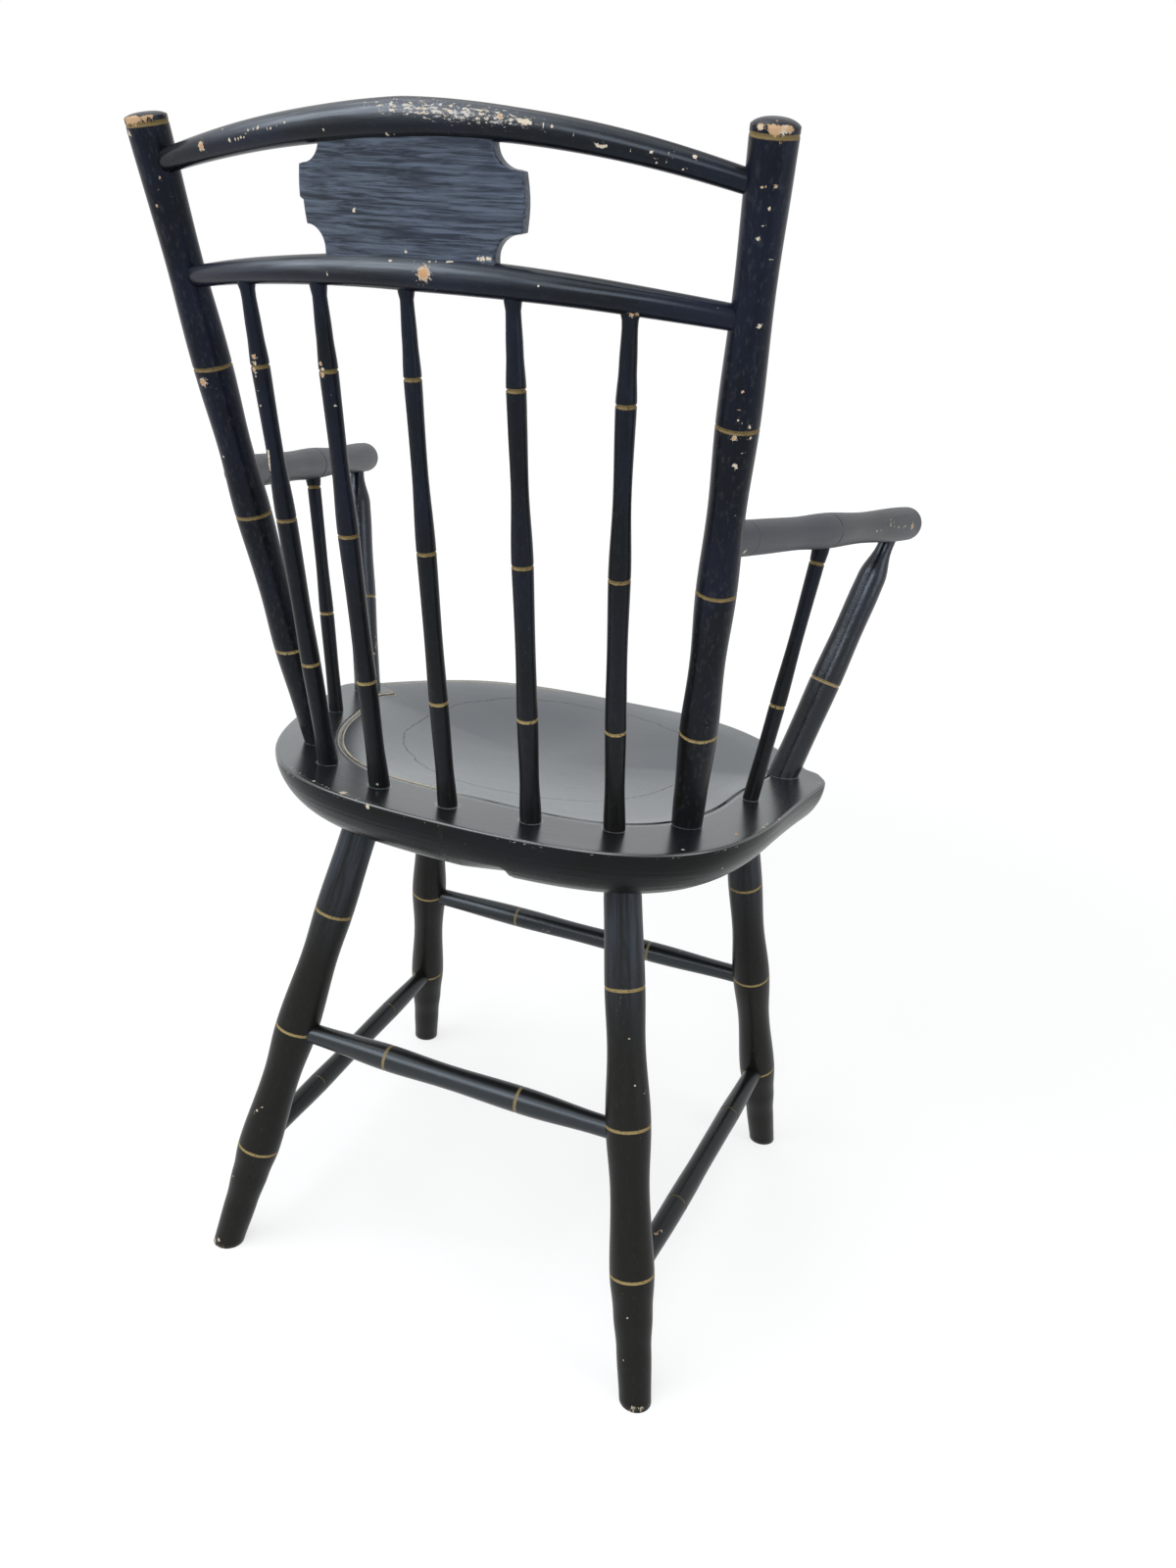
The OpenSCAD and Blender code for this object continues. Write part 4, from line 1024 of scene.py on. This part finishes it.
def paintFinish(name, look, extras=None):
    material = bpy.data.materials.new(name)
    bench = Bench(material)
    tones, noises, bands, shares = paintTones, paintGrain, paintBands, paintShares
    band, blend, noise, mark = bench.band, bench.blend, bench.noise, bench.mark
    place = bench.add("TexCoord", output="Object")
    height = bench.part(place, "Z")
    grain = mark("grain", "Vector")
    streak = noise(bench.drawnOut(grain, look["brushStretch"]), look["brushScale"], *noises["streak"])
    cloud = noise(place, *noises["cloud"])
    fine = noise(place, *noises["fine"])
    ragged = noise(place, *noises["ragged"])

    # Blue-black high up, warmer and dustier towards the floor
    low = band(height, look["coolAbove"], look["warmBelow"])
    base = blend(band(cloud + (streak - 0.5) * 0.5, *bands["blue"]), tones["black"], tones["blue"])
    base = blend(low * look["warmth"], base, tones["olive"])
    scuff = noise(bench.drawnOut(grain, noises["scuffDraw"]), *noises["scuff"])
    scuffs = band(scuff, look["scuffAt"], look["scuffAt"] + shares["scuffEdge"])
    scuffs = scuffs * band(cloud, *bands["scuffPlace"])
    base = blend(scuffs * shares["scuff"], base, tones["dust"])
    rough = look["roughness"] + (cloud - 0.5) * shares["cloudRough"] + (streak - 0.5) * look["streakRough"]
    rough = rough + scuffs * shares["scuffRough"]
    # Brush marks: a fine orange peel, and broad pale strokes: on the tablet partly a paler coat, partly
    # painted sheen; on the legs' upper parts a painted highlight
    peel = noise(bench.drawnOut(grain, noises["peelDraw"]), *noises["peel"])
    base = blend(band(peel, *bands["mottle"]) * look["mottle"], base, tones["dust"])
    stroke = noise(bench.drawnOut(grain, noises["strokeDraw"]), look["strokeScale"], *noises["stroke"])
    share = band(stroke, *bands["stroke"]) * (1 - shares["strokeLeast"]) + shares["strokeLeast"]
    base = blend(share * look["bloom"] * band(height, *look["bloomAbove"]), base, tones["bloom"])
    # The pale band along the rails' backs is mostly a painted highlight, partly a rubbed haze.
    if look.get("haze"):
        sheenHazeShare = mark("haze") * (band(streak, *bands["hazeStreak"]) * 0.5 + 0.5) * look["haze"]
        base = blend(sheenHazeShare, base, tones["haze"])
    relief = streak * look["brushDepth"] + fine * look["fineDepth"] + peel * look["peelDepth"]

    # Ochre line painted into each scored ring
    if look["gilt"]:
        wander = (ragged - 0.5) * shares["giltWander"] + (cloud - 0.5) * shares["giltDrift"]
        core = look["giltHalf"] * shares["giltCore"]
        line = bench.within(abs(mark("ring") + wander), core, look["giltHalf"])
        line = line * bench.within(mark("ringGap"), *bands["giltEnd"])
        line = line * band(fine * 0.5 + ragged * 0.5, *bands["giltKept"]) * look["gilt"]
        aged = band(low + (ragged - 0.5) * shares["giltMottle"], *bands["giltTone"])
        base = blend(line, base, blend(aged, tones["mustard"], tones["gilt"]))
        rough = rough + line * shares["giltRough"]
        relief = relief + line * shares["giltRelief"]

    # Bare places: rubbed by hands, and chips down to the cream or the tan undercoat
    worn = mark("worn")
    flaky = noise(bench.drawnOut(grain, look["flakeStretch"]), look["flakeScale"], *noises["flake"])
    rubbed = band(flaky + worn * look["wearReach"], *bands["flaked"]) * band(worn, *bands["rubbed"])
    specks = band(noise(place, *noises["speck"]), look["speckAt"], look["speckAt"] + shares["speckEdge"])
    specks = specks * band(noise(place, *noises["speckPlace"]), *bands["speckPlace"])
    jagged = 1 + (noise(place, *noises["jagged"]) - 0.5) * shares["jagged"]
    cream = bench.within(bench.size(mark("creamChip", "Vector")) * jagged, *bands["cream"])
    tanAway = bench.size(mark("tanChip", "Vector")) * jagged
    tan = bench.within(tanAway, *bands["tan"])
    under = blend(band(noise(place, *noises["under"]), *look["underAt"]), tones["cream"], look["underTone"])
    base = blend(rubbed, base, under)
    bare = bench.larger(cream, specks)
    base = blend(bare, base, tones["cream"])
    base = blend(tan, base, blend(band(tanAway, *bands["tanRim"]), tones["tan"], tones["cream"]))
    gone = bench.larger(bare, tan, rubbed)
    rough = rough + gone * shares["bareRough"]
    relief = relief - gone * look["chipDepth"]

    coat = 0.0
    if extras:
        base, rough, relief, coat = extras(bench, place, base, rough, relief, gone)

    bump = bench.add("Bump", {}, {"Height": relief, "Strength": 1.0, "Distance": 1.0 * mm}, output="Normal")
    surface = bench.add("BsdfPrincipled", {}, {
        "Base Color": base, "Roughness": rough, "IOR": look["ior"], "Specular Tint": look["glossTint"],
        "Normal": bump, "Coat Weight": coat, "Coat Roughness": look["coatRoughness"],
        "Coat IOR": look["coatIor"], "Coat Tint": look["glossTint"]})
    bench.add("OutputMaterial", {}, {"Surface": surface})
    return material


turningPaint = {
    "brushStretch": 0.06, "brushScale": 330.0, "brushDepth": 0.05, "fineDepth": 0.012, "roughness": 0.30,
    "streakRough": 0.16, "coolAbove": 0.74, "warmBelow": 0.40, "warmth": 0.75, "scuffAt": 0.66,
    "gilt": 1.0, "giltHalf": 1.45 * mm, "wearReach": 0.5, "speckAt": 0.77, "chipDepth": 0.12,
    "underTone": colour(0.42, 0.29, 0.18), "underAt": (0.42, 0.6), "ior": 1.25,
    "flakeStretch": 0.4, "flakeScale": 210.0, "coatRoughness": 0.25, "coatIor": 1.5,
    "glossTint": colour(0.78, 0.89, 1.0), "peelDepth": 0.05, "mottle": 0.03,
    "bloom": 0.0, "bloomAbove": (-0.2, -0.1), "strokeScale": 150.0,
}
stickFinish = paintFinish("stickPaint", turningPaint)
postFinish = paintFinish("postPaint", varied(
    turningPaint, underTone=colour(0.35, 0.225, 0.125), underAt=(0.3, 0.52), flakeStretch=1.0,
    flakeScale=240.0, glossTint=colour(0.68, 0.78, 1.0), peelDepth=0.08, mottle=0.10))
supportFinish = paintFinish("supportPaint", varied(
    turningPaint, roughness=0.22, brushDepth=0.10, ior=1.42, glossTint=colour(0.78, 0.87, 1.0),
    peelDepth=0.18))
# The legs' upper parts are painted paler: a painted highlight.
legFinish = paintFinish("legPaint", varied(
    turningPaint, roughness=0.36, speckAt=0.765, peelDepth=0.02, bloom=0.42, bloomAbove=(0.26, 0.42),
    warmth=0.95, glossTint=colour(0.80, 0.86, 0.92)))
armFinish = paintFinish("armPaint", varied(
    turningPaint, gilt=0.0, roughness=0.46, ior=1.60, glossTint=colour(0.84, 0.92, 1.0), flakeScale=420.0))
stretcherFinish = paintFinish("stretcherPaint", varied(turningPaint, gilt=0.75, ior=1.5))
sideFinish = paintFinish("sideStretcherPaint", varied(turningPaint, gilt=0.35, giltHalf=0.9 * mm, ior=1.34))
railFinish = paintFinish("railPaint", varied(
    turningPaint, gilt=0.0, roughness=0.22, streakRough=0.12, underTone=colour(0.37, 0.36, 0.34),
    flakeScale=900.0, ior=1.28, haze=0.88, glossTint=colour(0.76, 0.86, 1.0), peelDepth=0.03))
# The tablet's pale strokes are partly a paler coat, partly painted sheen.
tabletFinish = paintFinish("tabletPaint", varied(
    turningPaint, gilt=0.0, roughness=0.36, brushStretch=0.09, brushScale=260.0, brushDepth=0.42,
    wearReach=0.2, ior=1.40, glossTint=colour(0.66, 0.79, 1.0), bloom=0.70, strokeScale=560.0))

# The seat also shows its scored line, its worn arris, grime round each stick, the mark of a round pad and a
# painted sheen in its dish.
seatMarks = {
    "ragged": (380.0, 4.0, 0.7), "patchy": (30.0, 3.0), "toolDraw": 0.03, "tool": (240.0, 3.0, 0.6),
    "padCentre": (0.0, -0.044, 0.0), "padRadius": 0.122, "padLine": (0.15 * mm, 0.9 * mm),
    "padWander": 14 * mm, "padKept": (0.38, 0.5), "padDark": 0.8, "padRelief": 0.12, "padDull": 0.5,
    "scoreEdge": 1.7 * mm, "scoreWander": 1.4 * mm, "scoreLine": (0.35 * mm, 0.85 * mm),
    "scoreKept": (0.46, 0.62), "scoreLean": 1.5, "scoreTone": (0.3, 0.5), "scoreRelief": 0.05,
    "arrisAt": 1.2 * mm, "arrisLine": (0.3 * mm, 1.3 * mm), "arrisBare": (0.80, 0.85),
    "arrisPatches": (0.44, 0.62), "dish": (0.0, 0.06), "dishSheen": 0.2, "dishDull": (0.0, 0.12),
    "grimeLine": (0.2 * mm, 2.6 * mm), "grimeKept": (0.3, 0.55), "grimeShare": 0.8,
    "dulled": (-0.16, 0.06), "dullShare": 0.4, "toolDepth": 0.55,
}
stickFeet = [(spindleBase(k) + driftAtRoot(f"spindle{k + 3}"), spindleSize) for k in range(-2, 3)]
for word, side in sides.items():
    stickFeet.append((postAt(side, 0) + driftAtRoot("post" + word), postSize))
    stickFeet.append((baseUnderArm(side, supportSize) + driftAtRoot("support" + word), supportSize))
    stickFeet.append((baseUnderArm(side, shortSize), shortSize))


def seatExtras(bench, place, base, rough, relief, gone):
    tones, size = paintTones, seatMarks
    band, blend, mark = bench.band, bench.blend, bench.mark
    ragged = bench.noise(place, *size["ragged"])
    patchy = bench.noise(place, *size["patchy"])
    lines = bench.within(abs(abs(mark("score")) - size["scoreEdge"]) + (ragged - 0.5) * size["scoreWander"],
                         *size["scoreLine"])
    lines = lines * band(patchy + bench.part(place, "X") * size["scoreLean"], *size["scoreKept"])
    base = blend(lines, base, blend(band(ragged, *size["scoreTone"]), tones["grime"], tones["cream"]))
    edge = bench.within(abs(mark("arris") + size["arrisAt"]), *size["arrisLine"])
    edgeWorn = band(ragged * 0.7 + edge * 0.4, *size["arrisBare"]) * band(patchy, *size["arrisPatches"])
    base = blend(edgeWorn, base, tones["cream"])
    skirt, saddle = mark("skirt"), mark("saddle")
    upper = 1 - skirt
    pad = bench.distance(bench.vectors("MULTIPLY", place, (1.0, 1.0, 0.0)), size["padCentre"])
    padEdge = abs(pad - size["padRadius"] + (patchy - 0.5) * size["padWander"])
    padLine = bench.within(padEdge, *size["padLine"]) * band(ragged, *size["padKept"]) * upper
    # The dish is painted paler and bluer than the rim: a painted sheen.
    base = blend(band(saddle, *size["dish"]) * size["dishSheen"], base, tones["bloom"])
    base = blend(padLine * size["padDark"], base, tones["black"])
    collars = []
    for foot, stick in stickFeet:
        radius = stick["root"][0][1] / 2 * mm
        collars.append(bench.within(bench.distance(place, tuple(foot * mm)) - radius, *size["grimeLine"]))
    grime = bench.larger(*collars)
    base = blend(grime * band(ragged, *size["grimeKept"]) * size["grimeShare"], base, tones["grime"])
    tool = bench.noise(bench.drawnOut(mark("grain", "Vector"), size["toolDraw"]), *size["tool"])
    rough = rough + band(saddle, *size["dishDull"]) * 0.12 + grime * 0.2 + lines * 0.3 + padLine * 0.3
    relief = relief - padLine * size["padRelief"] - lines * size["scoreRelief"]
    relief = relief + tool * skirt * size["toolDepth"]
    # The waxed top shines more than the edge, least of all where knees and hands have dulled its front.
    dulled = bench.within(bench.part(place, "Y"), *size["dulled"])
    bareWood = bench.larger(gone, lines, edgeWorn)
    coat = upper * (1 - dulled * size["dullShare"]) * (1 - padLine * size["padDull"]) * (1 - bareWood)
    return base, rough, relief, coat


seatFinish = paintFinish("seatPaint", varied(
    turningPaint, gilt=0.0, roughness=0.26, brushStretch=0.05, brushDepth=0.04, warmth=0.6, coolAbove=0.9,
    warmBelow=0.8, wearReach=0.0, mottle=0.0, peelDepth=0.0, glossTint=colour(0.81, 0.93, 0.98), coatIor=1.78,
    ior=1.2), seatExtras)

finishes = {
    "seatPlank": seatFinish, "crestRail": railFinish, "lowerRail": railFinish, "tabletBoard": tabletFinish,
    "post": postFinish, "armLeft": armFinish, "armRight": armFinish, "stretcherLeft": sideFinish,
    "stretcherRight": sideFinish, "stretcher": stretcherFinish, "support": supportFinish, "leg": legFinish,
}
for name, piece in pieces.items():
    kinds = [kind for kind in finishes if name.startswith(kind)]
    piece.data.materials.append(finishes[kinds[0]] if kinds else stickFinish)
print("finishes on", len(pieces), "pieces")

# Pale floor, white surroundings and soft lamps
studio = {
    "floorHalf": 14.0, "floorDrop": 0.0002, "floorTone": colour(0.80, 0.80, 0.80), "floorWhite": 1.13,
    "glowNear": 0.6, "fade": (0.8, 2.6), "skyForDiffuse": 0.45, "lampTone": (0.94, 0.97, 1.0),
    "lamps": {
        "overhead": {"place": (0.25, 0.35, 2.7), "aim": (0.0, 0.0, 0.5), "size": (2.4, 1.6), "power": 26.0},
        "window": {"place": (-2.5, 0.5, 1.2), "aim": (0.0, 0.0, 0.5), "size": (1.2, 1.8), "power": 20.0},
        "behindCamera": {"place": (1.3, 1.8, 1.95), "aim": (0.0, 0.1, 0.7), "size": (2.5, 1.2), "power": 50},
        "besideCamera": {"place": (-0.5, 2.0, 1.4), "aim": (0.0, 0.1, 0.7), "size": (1.0, 0.8), "power": 18},
    },
}


def seenDirectly(bench):
    seen, glossy, through = [bench.add("LightPath", output=f"Is {kind} Ray")
                             for kind in ("Camera", "Glossy", "Transmission")]
    return bench.maths("ADD", seen + glossy, through, clamp=True)


floorMesh = bpy.data.meshes.new("floor")
half = studio["floorHalf"]
corners = [(-half, -half, 0), (half, -half, 0), (half, half, 0), (-half, half, 0)]
floorMesh.from_pydata(corners, [], [(0, 1, 2, 3)])
floor = bpy.data.objects.new("floor", floorMesh)
show(floor)
floor.location.z = -studio["floorDrop"]
floorPaint = bpy.data.materials.new("paleFloor")
bench = Bench(floorPaint)
matt = bench.add("BsdfDiffuse", {}, {"Color": studio["floorTone"]})
glow = bench.add("Emission", {}, {"Color": colour(1, 1, 1), "Strength": studio["floorWhite"]})
# The floor keeps the chair's shadow and turns plain white farther out.
away = bench.size(bench.add("TexCoord", output="Object"))
share = bench.band(away, *studio["fade"]) * (1 - studio["glowNear"]) + studio["glowNear"]
shown = bench.add("MixShader", {}, {0: seenDirectly(bench) * share, 1: matt, 2: glow})
bench.add("OutputMaterial", {}, {"Surface": shown})
floorMesh.materials.append(floorPaint)

world = bpy.data.worlds.new("studio")
bpy.context.scene.world = world
bench = Bench(world)
strength = seenDirectly(bench) * (1 - studio["skyForDiffuse"]) + studio["skyForDiffuse"]
sky = bench.add("Background", {}, {"Color": colour(1, 1, 1), "Strength": strength})
bench.add("OutputWorld", {}, {"Surface": sky})

for name, look in studio["lamps"].items():
    lamp = bpy.data.lights.new(name, "AREA")
    lamp.shape = "RECTANGLE"
    lamp.size, lamp.size_y = look["size"]
    lamp.energy = look["power"]
    lamp.color = studio["lampTone"]
    holder = bpy.data.objects.new(name, lamp)
    holder.location = look["place"]
    holder.rotation_euler = (Vector(look["aim"]) - Vector(look["place"])).to_track_quat("-Z", "Y").to_euler()
    show(holder)
bpy.context.scene.view_settings.view_transform = "Standard"
print("studio lit")
